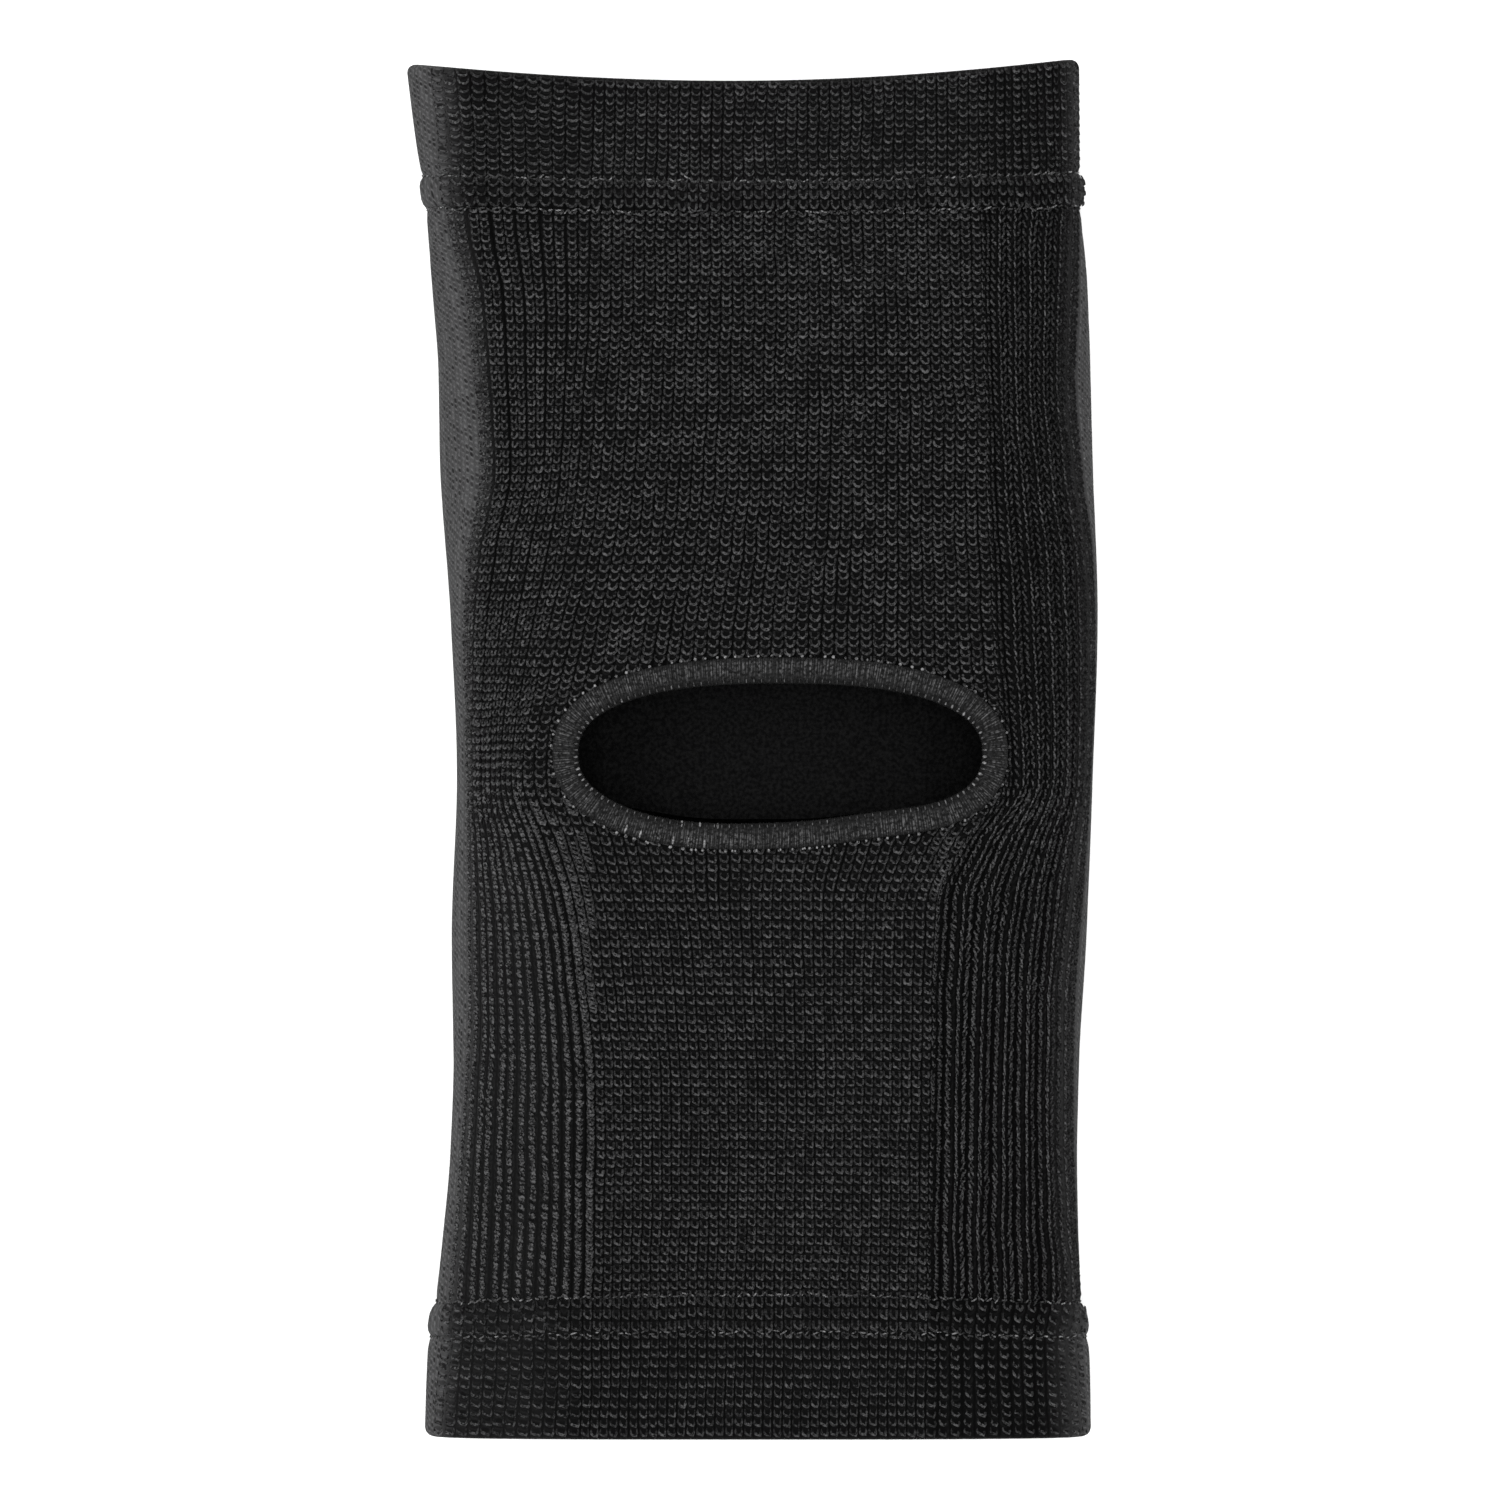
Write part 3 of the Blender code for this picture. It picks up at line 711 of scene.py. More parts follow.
def loops(name, low_y, high_y, lift=no_lift, keep=everywhere, tall=1.0, plain=False, shift=0.0):
    """The loops of the back between two places along it, lifted by a height at each place, where keep says
    so. Tall ones are pulled long by a seam, and shifted ones stand over the others of their wale."""
    first = course_of(0.5 + low_y / LENGTH)
    last = course_of(0.5 + high_y / LENGTH)
    tall = (last - first) / round((last - first) / tall)
    stops = np.arange(first - 2, last + 2 + FIELD_STEP, FIELD_STEP)
    size = BACK_WALES * WALE_COLUMNS + 1
    field = [knit_round(float(station_of(stop)), 0.0, 0.0) for stop in stops]
    ground = np.array([points[:size] for points, facing in field])
    faces_out = np.array([facing[:size] for points, facing in field])

    # Every loop by its column and row, with a slow drift of the rows and a sway of the wales.
    columns = np.array(loop_columns(plain))
    rows = first + tall * np.arange(round((last - first) / tall))
    column, row = np.meshgrid(np.arange(len(columns)), rows)
    drift = wander(len(rows), len(columns), 0.13).ravel()
    sway = wander(len(rows), len(columns), 0.06).ravel()
    column, row = column.ravel(), row.ravel() + shift
    middle, width, depth, tone, wild, way = columns[column].T
    count = len(middle)
    lean = 0.02 + rng.normal(0, 0.5, count) * wild

    # Its shape and tones: wide above the vent, closer below it, rib loops at the left, chains at the right.
    low = np.clip((MIDDLE_COURSE + 2 - row) / LOW_FADE, 0, 1)[:, None, None]
    shape = blend(LOOP, LOW_LOOP, low)
    tones = blend(LOOP_LIGHT_AND_SHADE, LOW_LIGHT_AND_SHADE, low[:, :, 0])
    drift = drift * (1 - 0.5 * low[:, 0, 0])
    ribbed = np.clip((LEFT_WALES + 2 - middle) / 4, 0, 1)[:, None]
    chained = np.clip((middle - LEFT_WALES - PANEL_WALES + 1) / 3, 0, 1)[:, None]
    if plain:
        ribbed, chained = 0 * ribbed, 0.3 * chained
    chain = CHAIN_LOOP * np.stack([way, way ** 2, way ** 2], axis=1)[:, None]
    for share, other in (
        (ribbed * (1 - low[:, :, 0]), RIB_LOOP),
        (ribbed * low[:, :, 0], CHAIN_LOOP * DASH_SHAPE),
        (chained, blend(chain, chain * LOW_CHAIN_SHAPE, low)),
    ):
        shape = blend(shape, other, share[:, :, None])
        tones = blend(tones, SIDE_LIGHT_AND_SHADE, share)

    # Its points in wales and courses, and their height over the cloth.
    across = middle[:, None] + sway[:, None] + width[:, None] * shape[:, :, 0]
    across = across + rng.normal(0, 1, (count, LOOP_POINTS)) * (wild[:, None] * 0.4)
    upward = row[:, None] + tall / 2 + drift[:, None]
    upward = upward + tall * shape[:, :, 1] - lean[:, None] * shape[:, :, 0]
    upward = upward + rng.normal(0, 1, (count, LOOP_POINTS)) * (wild[:, None] * 0.5)
    height = (shape[:, :, 2] + rng.normal(0, 0.02, (count, LOOP_POINTS))) * LOOP_SIZE - depth[:, None]

    def sample(u, v, values):
        c = np.clip(u * WALE_COLUMNS, 0, size - FIELD_EDGE)
        r = np.clip((v - stops[0]) / FIELD_STEP, 0, len(stops) - FIELD_EDGE)
        ci, ri = c.astype(int), r.astype(int)
        cf, rf = (c - ci)[..., None], (r - ri)[..., None]
        near = blend(values[ri, ci], values[ri, ci + 1], cf)
        far = blend(values[ri + 1, ci], values[ri + 1, ci + 1], cf)
        return blend(near, far, rf)

    path = sample(across, upward, ground)
    out = sample(across, upward, faces_out)
    out /= np.linalg.norm(out, axis=2)[:, :, None]
    height = height * np.clip(np.abs(out[:, :, 2]) * 1.6, 0.35, 1)
    path = path + out * (height + lift((station_of(upward) - 0.5) * LENGTH))[:, :, None]

    # Its ribbon: a crown of yarn along the path and an edge on either side of it.
    kept = keep(path[:, 3, 0], path[:, 3, 1])
    fine = 1 + ((0.60 * ribbed - 0.20 * chained) * low[:, :, 0])[kept, :, None]
    sides = 1 + (0.75 * ribbed + 0.62 * chained)[:, 0] * low[:, 0, 0]
    path, out, tone, tones, width = path[kept], out[kept], tone[kept], tones[kept], width[kept]
    count = len(path)
    ahead = np.gradient(path, axis=1)
    ahead /= np.linalg.norm(ahead, axis=2)[:, :, None]
    beside = np.cross(ahead, out)
    beside /= np.linalg.norm(beside, axis=2)[:, :, None]
    thick = YARN_HALF * fine * rng.uniform(0.8, 1.2, (count, 1, 1))
    thick = thick * np.clip(0.45 + 0.6 * width, 0, 1)[:, None, None]
    edge, crown = beside * thick, out * YARN_CROWN
    points = np.stack([path + edge - crown, path + crown, path - edge - crown], axis=2)
    start = np.arange(count)[:, None, None] * RIBBON_POINTS
    step = np.arange(LOOP_POINTS - 1)[None, :, None] * 3
    corner = (start + step + np.arange(2)[None, None, :]).ravel()
    quads = np.stack([corner, corner + 1, corner + 4, corner + 3], axis=1)
    mesh = bpy.data.meshes.new(name)
    mesh.vertices.add(count * RIBBON_POINTS)
    mesh.vertices.foreach_set("co", points.reshape(-1).astype(np.float32))
    mesh.loops.add(len(quads) * 4)
    mesh.loops.foreach_set("vertex_index", quads.ravel().astype(np.int32))
    mesh.polygons.add(len(quads))
    mesh.polygons.foreach_set("loop_start", np.arange(len(quads), dtype=np.int32) * 4)
    mesh.update()
    mesh.validate()
    mesh.shade_smooth()
    mesh.materials.append(yarn)
    layer = mesh.uv_layers.new(name="yarn")
    spot = quads.ravel() % RIBBON_POINTS
    uvs = np.stack([(spot // 3) * 0.35, (spot % 3) * 0.4], axis=1)
    layer.data.foreach_set("uv", uvs.ravel().astype(np.float32))
    made = add_object(name, mesh)

    # Its tone, brighter for some loops than for others and patchy along each, times the painted light and
    # shade along each loop.
    bright = np.clip(tone * sides[kept] * (0.60 + 0.6 * rng.random(count) ** 1.6), 0, 1)
    patchy = np.repeat(rng.uniform(0.45, 1.4, (count, LOOP_POINTS)).ravel(), 3)
    spread = np.repeat(bright, RIBBON_POINTS) * patchy * np.repeat(tones.ravel(), 3)
    paint(made, "tone", np.clip(spread, 0, 1))
    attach(made, "root")


yarn = yarn_material()
for name, keep, shift in (
    ("sleeve_loops", clear_of_binding, 0.0),
    ("sleeve_side_loops", beside_low_panel, 0.5),
):
    loops(name, SLEEVE_LOOPS_FROM, SLEEVE_LOOPS_TO, keep=keep, shift=shift)


# Hems
# Each mouth is the same tube folded inwards to two layers, with a round edge, and held by a raised band of
# cloth between two rows of cover stitch. Loops of yarn stand on the hems and the bands too.

CUFF_WALL = 0.0032
HEM_RIBBING = 0.35
CUFF_ROWS = 16
INNER_ROWS = 8
EDGE_ROWS = 7
MOUTH_EDGE = 0.0006
SEAM_RISE = 0.0010
SEAM_BED = 0.0005
SEAM_ROWS = 9
SEAM_LAP = 0.0005
BAND_RIBBING = 0.5
BAND_COURSE = 0.0024
BAND_TALL = 1.15


def folded_hem(name, node_name, mouth, line, way):
    """A folded hem, from under its band to the round edge and back along the inner layer."""
    seam = 0.5 + line / LENGTH
    edge = 0.5 + (mouth - way * CUFF_WALL / 2) / LENGTH
    steps = [(at, 0.0) for at in np.linspace(seam, edge, CUFF_ROWS)]
    for k in range(1, EDGE_ROWS):
        turn = math.pi * k / EDGE_ROWS
        past = way * math.sin(turn) * CUFF_WALL / 2 / LENGTH
        steps.append((edge + past, (1 - math.cos(turn)) * CUFF_WALL / 2))
    steps += [(at, CUFF_WALL) for at in np.linspace(edge, seam, INNER_ROWS)]
    rounds = [knit_round(at, depth, HEM_RIBBING)[0] for at, depth in steps]
    lengths = [math.hypot((b[0] - a[0]) * LENGTH, b[1] - a[1]) for a, b in zip(steps, steps[1:])]
    course = course_of(seam) + way * np.cumsum([0.0] + lengths) / COURSE_HIGH
    hem_mesh = knit_mesh(name, rounds, [*course, course[-1] + way], knit, closed=True)
    if way < 0:
        hem_mesh.data.flip_normals()
    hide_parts(node_name)
    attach(hem_mesh, "root")


def hem_band(name, node_name, line):
    """The raised band over the seam, with a rounded profile that sinks into the cloth at both edges."""
    steps = []
    for k in range(SEAM_ROWS):
        turn = math.pi * k / (SEAM_ROWS - 1)
        steps.append((line - math.cos(turn) * HALF_SEAM, LOOP_SINK - SEAM_RISE * math.sin(turn) ** 0.6))
    steps += [(line + 0.8 * HALF_SEAM, SEAM_BED), (line - 0.8 * HALF_SEAM, SEAM_BED)]
    rounds = [knit_round(0.5 + out / LENGTH, depth, BAND_RIBBING)[0] for out, depth in steps]
    course = [out / BAND_COURSE for out, depth in steps]
    band = knit_mesh(name, rounds, [*course, course[0]], knit, closed=True)
    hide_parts(node_name)
    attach(band, "root")


def band_lift(line):
    """How far the band over a seam lifts the loops at a place along the sleeve."""
    return lambda y: SEAM_RISE * np.clip(1 - ((y - line) / HALF_SEAM) ** 2, 0, 1) ** 0.3 + seam_pull(y)


folded_hem("thigh_hem", "thigh_cuff", LENGTH / 2, THIGH_LINE, 1)
folded_hem("calf_hem", "calf_cuff", -LENGTH / 2, CALF_LINE, -1)
hem_band("thigh_band", "thigh_hem_seam", THIGH_LINE)
hem_band("calf_band", "calf_hem_seam", CALF_LINE)
for name, node_name, low_y, high_y in (
    ("thigh_hem_loops", "thigh_cuff", THIGH_LINE + HALF_SEAM - SEAM_LAP, LENGTH / 2 - MOUTH_EDGE),
    ("calf_hem_loops", "calf_cuff", -LENGTH / 2 + MOUTH_EDGE, CALF_LINE - HALF_SEAM + SEAM_LAP),
):
    loops(name, low_y, high_y, plain=True)
for name, node_name, line in (
    ("thigh_band_loops", "thigh_hem_seam", THIGH_LINE),
    ("calf_band_loops", "calf_hem_seam", CALF_LINE),
):
    loops(name, line - HALF_SEAM, line + HALF_SEAM, band_lift(line), tall=BAND_TALL, plain=True)


# Cover stitches
# Two rows of short stitches in spun polyester thread hold each hem, one along each edge of its raised band.
# Each stitch is two plies twisted together. A few thread ends stand up from the lower row of the calf hem.

STITCH_SIDES = 5
STITCH_LENGTH = 0.0013
STITCH_RADIUS = 0.00014
STITCH_PITCH = 0.0014
STITCH_ROW = 0.0031
STITCH_DEPTH = -0.0001
STITCH_BOW = 0.00022
STITCH_BED = 0.00006
STITCH_TONES = [0.25, 0.6, 1.0]
PLY_POINTS = 7
PLY_APART = 0.00009
PLY_TURN = 2.4 * math.pi
PLY_SIZE = 0.75
KNOT_X = 0.0293
KNOT_SIZE = 0.0006
KNOT_THICK = 1.6
KNOT_TONE = 0.05


def thread_material(name, colour, shine, specular=0.03):
    """Spun polyester thread: a little sheen, fine ply along it and uneven tone."""
    material, shader = new_material(name)
    tree = material.node_tree
    patches = ramp(tree, noise(tree, 1900, 3.0).outputs["Fac"], 0.34, 0.68)
    uneven = calc(tree, "MULTIPLY", patches, painted(tree, "tone"))
    tree.links.new(mix(tree, uneven, tuple(0.05 * c for c in colour), colour), shader.inputs["Base Color"])
    finish(shader, noise(tree, 5000).outputs["Fac"], strength=0.4, distance=0.00008, roughness=0.60,
           specular=specular, sheen=shine)
    return material


def tubes(name, paths, radius, sides, material):
    """Short closed tubes along paths of points, each with a size and tone along it, joined in one mesh."""
    points = []
    faces = []
    tones = []
    for path, facings, size, tone in paths:
        tones += np.repeat(tone, sides).tolist()
        path = np.asarray(path, float)
        ahead = np.gradient(path, axis=0)
        ahead /= np.linalg.norm(ahead, axis=1)[:, None]
        facings = np.asarray(facings, float)
        beside = np.cross(ahead, facings)
        beside /= np.linalg.norm(beside, axis=1)[:, None]
        over = np.cross(beside, ahead)
        start = len(points)
        for k in range(len(path)):
            for j in range(sides):
                turn = 2 * math.pi * j / sides
                offset = beside[k] * math.cos(turn) + over[k] * math.sin(turn)
                points.append(path[k] + offset * radius * size[k])
        for k in range(len(path) - 1):
            for j in range(sides):
                a = start + k * sides + j
                b = start + k * sides + (j + 1) % sides
                faces.append((a, b, b + sides, a + sides))
        faces.append(tuple(start + j for j in range(sides))[::-1])
        last = start + (len(path) - 1) * sides
        faces.append(tuple(last + j for j in range(sides)))
    made = mesh_object(name, points, faces, material)
    paint(made, "tone", tones)
    return made


def walk_round(points):
    """The distance walked at each point of a closed line, back to its first one."""
    lengths = np.linalg.norm(np.diff(np.concatenate([points, points[:1]]), axis=0), axis=1)
    return np.concatenate([[0.0], np.cumsum(lengths)])


def along_round(line, depth, pitch):
    """Places at even steps round the tube: points, directions round it and directions that they face."""
    points, facing = knit_round(0.5 + line / LENGTH, depth, 0.0)
    walked = walk_round(points)
    count = int(walked[-1] / pitch)
    at = (np.arange(count) + 0.5) * walked[-1] / count
    place, out = (
        np.stack([np.interp(at, walked, np.append(rows[:, k], rows[0, k])) for k in range(3)], axis=1)
        for rows in (points, facing)
    )
    ahead = np.roll(place, -1, axis=0) - np.roll(place, 1, axis=0)
    return place, ahead / np.linalg.norm(ahead, axis=1)[:, None], out


thread = thread_material("black_thread", (0.19, 0.19, 0.192), 0.03)
for name, node_name, line in (
    ("thigh", "thigh_hem_seam", THIGH_LINE),
    ("calf", "calf_hem_seam", CALF_LINE),
):
    paths = []
    for side in (-1, 1):
        place, ahead, out = along_round(line + side * STITCH_ROW, STITCH_DEPTH, STITCH_PITCH)
        for k in range(len(place)):
            half = ahead[k] * STITCH_LENGTH / 2 * rng.uniform(0.45, 1.05)
            skew = np.array([0.0, rng.normal(0.00010, 0.00022), 0.0])
            place[k] += [0.0, rng.normal(0, 0.00018), 0.0]
            over = np.cross(out[k], ahead[k])
            tone = rng.choice(STITCH_TONES, p=[0.35, 0.35, 0.30])
            for strand in (0, math.pi):
                path = []
                for j in range(PLY_POINTS):
                    t = j / (PLY_POINTS - 1)
                    turn = strand + PLY_TURN * t + k
                    rise = STITCH_BOW * math.sin(math.pi * t) - STITCH_BED + PLY_APART * math.sin(turn)
                    aside = over * PLY_APART * math.cos(turn)
                    path.append(place[k] + (2 * t - 1) * (half + skew) + out[k] * rise + aside)
                facings = [out[k]] * PLY_POINTS
                paths.append((path, facings, np.full(PLY_POINTS, PLY_SIZE), np.full(PLY_POINTS, tone)))
        if name == "calf" and side < 0:
            near = np.argmin(np.abs(place[:, 0] - KNOT_X) + (out[:, 2] < 0))
            for turn in (0.3, 1.5, 2.6):
                way = np.array([math.cos(turn), math.sin(turn), 0.0])
                curl = []
                for t in np.linspace(-1, 1, PLY_POINTS):
                    curl.append(place[near] + KNOT_SIZE * (way * t + out[near] * (0.6 - t * t)))
                size, tone = np.full(PLY_POINTS, KNOT_THICK), np.full(PLY_POINTS, KNOT_TONE)
                paths.append((curl, [out[near]] * PLY_POINTS, size, tone))
    stitches = tubes(f"{name}_stitches", paths, STITCH_RADIUS, STITCH_SIDES, thread)
    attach(stitches, "root")


# Vent binding
# The vent's cut edge is wrapped in dense overlock thread, which makes a soft raised roll. A row of stitches
# runs outside it and small knots along its inner edge, and the wrapping overlaps where it starts, below.
# A near-black strip along the inside of the lower lip is painted shadow, for the dark gap down to the
# lining.

BINDING_RISE = 0.0015
BINDING_DEEP = 0.0027
RING_STEPS = 240
PROFILE_STEPS = 14
THREAD_PITCH = 0.00042
THREAD_RADIUS = 0.00017
THREAD_POINTS = 8
THREAD_END = 0.93
CREST_HIGHLIGHT_AT = 0.34
CREST_HIGHLIGHT_WIDTH = 0.13
STITCH_LIFT = 0.00016
STITCH_SHAPE = np.array([0.6, 1.0, 1.1, 1.0, 0.6])
DOT_PITCH = 0.0019
DOT_RADIUS = 0.00026
BEAD_PITCH = 0.00135
BEAD_RADIUS = 0.00030
JOIN_RADIUS = 0.00020
ROLL_TONE = 0.08
# Where the painted shadow strip lies on the roll and along the lower lip, and how thick it is.
SHADOW_SHARE = 0.78
SHADOW_FROM = -0.0236
SHADOW_TO = 0.0216
SHADOW_POINTS = 40
SHADOW_RADIUS = 0.0009


def back_height(x, y):
    """The height of the back's outer face at places."""
    heights = []
    for px, py in zip(np.atleast_1d(x), np.atleast_1d(y)):
        left, right, top, under, fold = section(0.5 + py / LENGTH)
        across, height, facing = quarter(right if px > 0 else left, top - fold, BACK_FLAT)
        heights.append(fold + np.interp(abs(px), across[::-1], height[::-1], left=top - fold))
    return np.array(heights)


def roll_profile(steps):
    """The roll's section from its outer edge over the crest and down the inner side: how far out from the
    lip, and how high over the cloth."""
    turn = np.linspace(-0.10 * math.pi, 1.42 * math.pi, steps)
    half = BINDING_WIDTH / 2
    out = half + half * np.sign(np.cos(turn)) * np.abs(np.cos(turn)) ** 0.8
    rise = BINDING_RISE * np.abs(np.sin(turn)) ** 0.9
    return out, np.where(np.sin(turn) > 0, rise, BINDING_DEEP * np.sin(turn))


turns = np.linspace(0, 2 * math.pi, RING_STEPS, endpoint=False)
outs, lifts = roll_profile(PROFILE_STEPS)
lip = vent_edge(turns, BINDING_WIDTH / 2)
base = back_height(lip[:, 0], lip[:, 1])
rim = vent_edge(turns, BINDING_WIDTH)
rim_base = back_height(rim[:, 0], rim[:, 1])
rings = []
for out, lift in zip(outs, lifts):
    flat = vent_edge(turns, out)
    share = min(1.0, max(0.0, 2 * out / BINDING_WIDTH - 1))
    rings.append(np.stack([flat[:, 0], flat[:, 1], blend(base, rim_base, share) + lift], axis=1))
roll_points = np.stack(rings, axis=1)
faces = []
for k in range(RING_STEPS):
    here, there = k * PROFILE_STEPS, (k + 1) % RING_STEPS * PROFILE_STEPS
    for j in range(PROFILE_STEPS):
        m = (j + 1) % PROFILE_STEPS
        faces.append((here + j, there + j, there + m, here + m))
binding_thread = thread_material("binding_thread", (0.084, 0.084, 0.085), 0.01)
roll = mesh_object("vent_roll", roll_points.reshape(-1, 3), faces, binding_thread)
paint(roll, "tone", ROLL_TONE)
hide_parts("vent_binding")
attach(roll, "root")


def on_roll(turn, profile_at):
    """A point on the roll at a turn round the vent and a share of its profile, and the way it faces."""
    ring = turn / (2 * math.pi) * RING_STEPS
    k = int(ring) % RING_STEPS
    n = (k + 1) % RING_STEPS
    s = ring - int(ring)
    j = min(PROFILE_STEPS - 2, int(profile_at * (PROFILE_STEPS - 1)))
    f = profile_at * (PROFILE_STEPS - 1) - j
    near = blend(roll_points[k, j], roll_points[k, j + 1], f)
    far = blend(roll_points[n, j], roll_points[n, j + 1], f)
    facing = np.cross(far - near, roll_points[k, j + 1] - roll_points[k, j])
    return blend(near, far, s), facing / np.linalg.norm(facing)


walked = walk_round(lip)
thread_count = int(walked[-1] / THREAD_PITCH)
paths = []
for k in range(thread_count):
    at = (k + rng.normal(0, 0.16)) % thread_count / thread_count * walked[-1]
    turn = np.interp(at, walked, np.append(turns, 2 * math.pi))
    slant = rng.normal(0.010, 0.006)
    shares = np.linspace(rng.uniform(0.0, 0.06), THREAD_END, THREAD_POINTS)
    path, facings = zip(*[on_roll((turn + slant * s) % (2 * math.pi), s) for s in shares])
    lift = rng.uniform(-0.00003, 0.00007)
    path = [p + f * lift for p, f in zip(path, facings)]
    # Painted highlight and shade: each thread is brightest over the roll's crest and near black down both
    # its sides.
    crest = 0.05 + 0.95 * np.exp(-((shares - CREST_HIGHLIGHT_AT) / CREST_HIGHLIGHT_WIDTH) ** 2)
    thickness = rng.uniform(0.8, 1.15, THREAD_POINTS)
    tone = crest * rng.uniform(0.45, 1.1) * rng.uniform(0.7, 1.2, THREAD_POINTS)
    paths.append((path, facings, thickness, tone))
overlock = tubes("vent_overlock", paths, THREAD_RADIUS, 4, binding_thread)
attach(overlock, "root")


def radial_stitches(places):
    """Short stitches across the roll: each from one share of its profile to another, at a turn."""
    paths = []
    for turn, start, end, size in places:
        shares = np.linspace(start, end, len(STITCH_SHAPE))
        path, facings = zip(*[on_roll(turn % (2 * math.pi), share) for share in shares])
        lifts = STITCH_LIFT + STITCH_LIFT * np.sin(np.linspace(0, math.pi, len(STITCH_SHAPE)))
        path = [p + f * lift for p, f, lift in zip(path, facings, lifts)]
        tone = min(1.0, size * rng.uniform(0.8, 1.4))
        paths.append((path, facings, size * STITCH_SHAPE, np.full(len(STITCH_SHAPE), tone)))
    return paths


def turn_at(x):
    """The turn of the lower lip at a place across."""
    lower = turns > math.pi
    return float(np.interp(x, lip[lower, 0], turns[lower]))


def spaced_turns(pitch):
    """The turns of places at even steps round the vent."""
    count = int(walked[-1] / pitch)
    at = (np.arange(count) + 0.5) / count * walked[-1]
    return np.interp(at, walked, np.append(turns, 2 * math.pi))


rows = []
for turn in spaced_turns(DOT_PITCH):
    rows.append((turn + rng.normal(0, 0.006), 0.0, 0.10 + rng.uniform(0, 0.03), rng.uniform(0.7, 1.3)))
dots = tubes("vent_outer_stitches", radial_stitches(rows), DOT_RADIUS, 5, thread)
rows = []
for turn in spaced_turns(BEAD_PITCH):
    strength = 0.30 + 0.50 * abs(math.cos(turn)) ** 3
    rows.append((turn, 0.52, 0.605, strength * rng.uniform(0.7, 1.2)))
beads = tubes("vent_inner_beads", radial_stitches(rows), BEAD_RADIUS, 5, thread)
rows = [(turn_at(x), 0.50, 0.64, 1.0) for x in (-0.0124, -0.0091, -0.0059)]
rows += [(turn_at(x), 0.20, 0.36, 0.9) for x in (-0.0216, -0.0191, -0.0135, -0.0109, -0.0081)]
rows += [(turn_at(x), 0.02, 0.14, 1.0) for x in np.arange(-0.020, 0.014, 0.0021)]
join = tubes("vent_join_stitches", radial_stitches(rows), JOIN_RADIUS, 5, thread)
# Painted shadow: a near-black tube along the inside of the lower lip stands for the shade in the gap
# between the lip and the lining.
painted_shadow_strip = thread_material("painted_shadow_strip", (0.0006, 0.0006, 0.0006), 0.0, specular=0.0)
places = np.linspace(SHADOW_FROM, SHADOW_TO, SHADOW_POINTS)
path, facings = zip(*[on_roll(turn_at(x), SHADOW_SHARE) for x in places])
thickness = np.interp(np.linspace(0, 1, SHADOW_POINTS), [0, 0.15, 0.55, 0.75, 1], [0.2, 1.0, 1.0, 0.55, 0.15])
paths = [(path, facings, thickness, np.ones(SHADOW_POINTS))]
edge = tubes("vent_painted_shadow", paths, SHADOW_RADIUS, 8, painted_shadow_strip)
for piece in (dots, beads, join, edge):
    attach(piece, "root")


# Lining and pad
# A smooth tricot lining is laid over the inner face of a domed foam cushion, and shows through the vent.
# The foam is sewn into the front of the sleeve and hidden. It swells a little and stays clear of the knit.

FOAM_SHRINK = 0.965
FOAM_SWELL = 0.0012
FOAM_VOXEL = 0.005
SWELL_PRESSURE = 4
SWELL_FRAMES = 20


def lining_material():
    """Fine smooth tricot: nearly black, with a faint grain."""
    material, shader = new_material("black_lining")
    tree = material.node_tree
    grain = noise(tree, 1500).outputs["Fac"]
    colour = mix(tree, ramp(tree, grain, 0.3, 0.75), (0.0006, 0.0006, 0.0007), (0.0048, 0.0048, 0.0049))
    tree.links.new(colour, shader.inputs["Base Color"])
    finish(shader, grain, strength=0.3, distance=0.0001, roughness=0.85, specular=0.05)
    return material


def copy_of(node_name, name, material):
    """A copy of a solid as a piece of its own, selected alone and active."""
    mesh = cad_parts[node_name].data.copy()
    mesh.materials.clear()
    mesh.materials.append(material)
    made = add_object(name, mesh)
    select_alone(made)
    return made


lining = copy_of("pad_lining", "lining_cloth", lining_material())
soften = lining.modifiers.new("soften", "SUBSURF")
soften.subdivision_type = "SIMPLE"
soften.levels = 1
soften.render_levels = 1
bpy.ops.object.modifier_apply(modifier=soften.name)
lining.data.shade_smooth()
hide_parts("pad_lining")
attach(lining, "root")
foam_material = thread_material("grey_foam", (0.30, 0.30, 0.31), 0.0)
foam = copy_of("knee_pad", "foam_pad", foam_material)
at_rest = np.empty(len(foam.data.vertices) * 3)
foam.data.vertices.foreach_get("co", at_rest)
at_rest = at_rest.reshape(-1, 3)
middle = (at_rest.min(0) + at_rest.max(0)) / 2
foam.data.vertices.foreach_set("co", ((at_rest - middle) * FOAM_SHRINK + middle).ravel())
remesh = foam.modifiers.new("remesh", "REMESH")
remesh.mode = "VOXEL"
remesh.voxel_size = FOAM_VOXEL
bpy.ops.object.modifier_apply(modifier=remesh.name)
before = np.empty(len(foam.data.vertices) * 3)
foam.data.vertices.foreach_get("co", before)
cloth = foam.modifiers.new("swell", "CLOTH")
cloth.settings.use_pressure = True
cloth.settings.uniform_pressure_force = SWELL_PRESSURE
cloth.settings.effector_weights.gravity = 0
for frame_number in range(1, SWELL_FRAMES + 1):
    bpy.context.scene.frame_set(frame_number)
bpy.ops.object.modifier_apply(modifier=cloth.name)
bpy.context.scene.frame_set(1)
after = np.empty_like(before)
foam.data.vertices.foreach_get("co", after)
moved = (after - before).reshape(-1, 3)
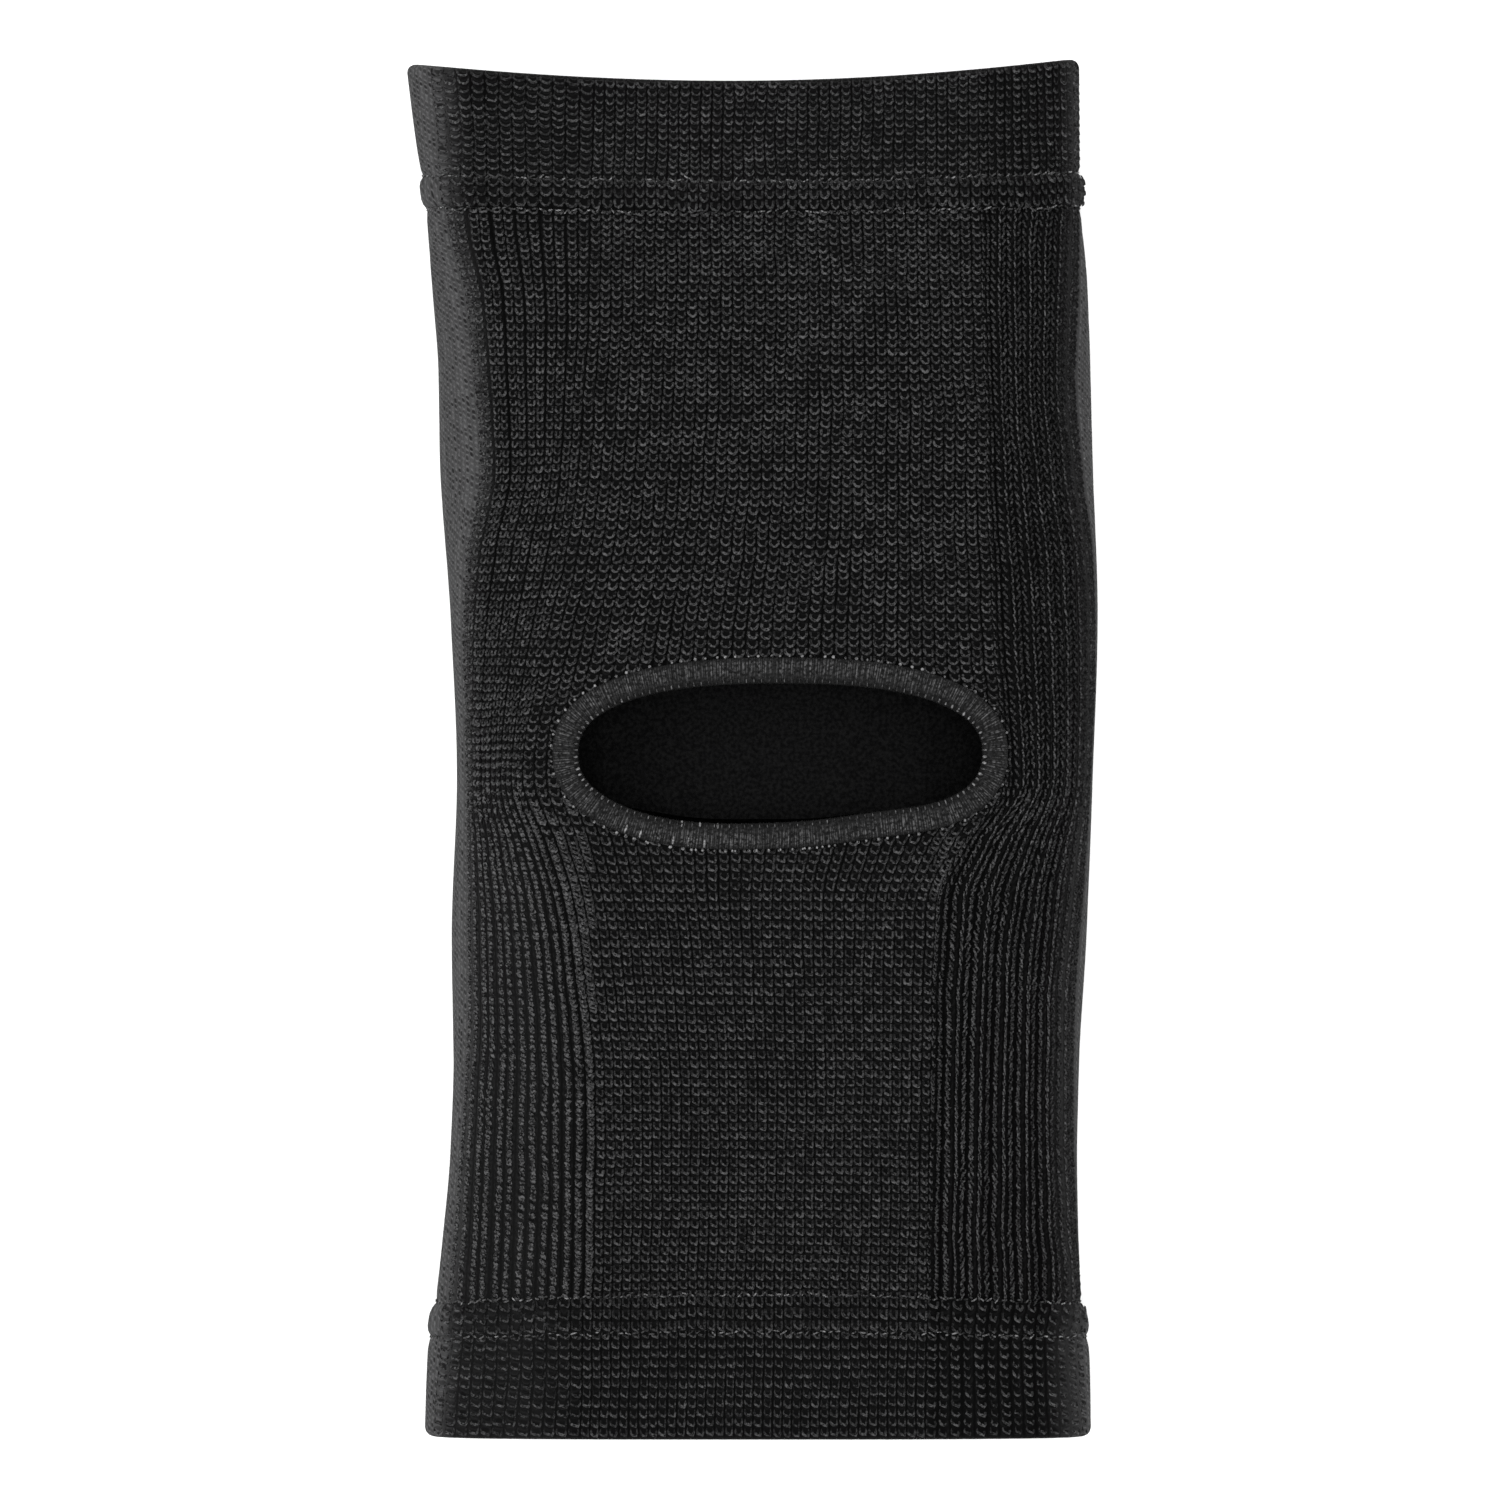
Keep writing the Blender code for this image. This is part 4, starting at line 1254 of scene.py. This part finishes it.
far = np.linalg.norm(moved, axis=1)[:, None]
moved *= np.minimum(1, FOAM_SWELL / np.maximum(far, 1e-9))
foam.data.vertices.foreach_set("co", (before.reshape(-1, 3) + moved).ravel())
foam.data.update()
round_off = foam.modifiers.new("rounded", "SUBSURF")
round_off.levels = 1
round_off.render_levels = 1
bpy.ops.object.modifier_apply(modifier=round_off.name)
foam.data.shade_smooth()
paint(foam, "tone", 1.0)
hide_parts("knee_pad")
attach(foam, "root")


# Studio
# A pale floor under even light from above and a little more from the left, and a camera straight above. The
# floor is no part of the knee pad.

bpy.ops.object.select_all(action="DESELECT")
bpy.ops.mesh.primitive_plane_add(size=6, location=(0, 0, -0.0002))
floor = bpy.context.object
floor.name = "studio_floor"
paper, shader = new_material("white_paper")
shader.inputs["Base Color"].default_value = (0.93, 0.93, 0.93, 1)
shader.inputs["Roughness"].default_value = 0.9
floor.data.materials.append(paper)
world = bpy.data.worlds.new("studio")
bpy.context.scene.world = world
world.use_nodes = True
sky = world.node_tree.nodes["Background"]
sky.inputs["Color"].default_value = (1, 1, 1, 1)
sky.inputs["Strength"].default_value = 1.45
for name, place, power, size in (
    ("key", (-0.9, 0.3, 1.1), 9, 0.8),
    ("fill", (0.05, -0.05, 1.7), 14, 0.6),
):
    light = bpy.data.lights.new(name, "AREA")
    light.energy = power
    light.size = size
    lamp = add_object(name, light)
    lamp.location = place
    aim = -np.array(place)
    tip = math.atan2(math.hypot(aim[0], aim[1]), -aim[2])
    lamp.rotation_euler = (tip, 0, math.atan2(-aim[0], aim[1]))

LENS_MM = 180
SENSOR_MM = 36
VIEW_WIDTH = 0.2705
camera_data = bpy.data.cameras.new("camera")
camera_data.lens = LENS_MM
camera_data.sensor_width = SENSOR_MM
camera_data.clip_end = 20
camera = add_object("camera", camera_data)
camera.location = (-0.0001, -0.0004, VIEW_WIDTH * LENS_MM / SENSOR_MM + FOLD_HEIGHT * HEIGHT)
bpy.context.scene.camera = camera
bpy.context.scene.view_settings.view_transform = "Standard"
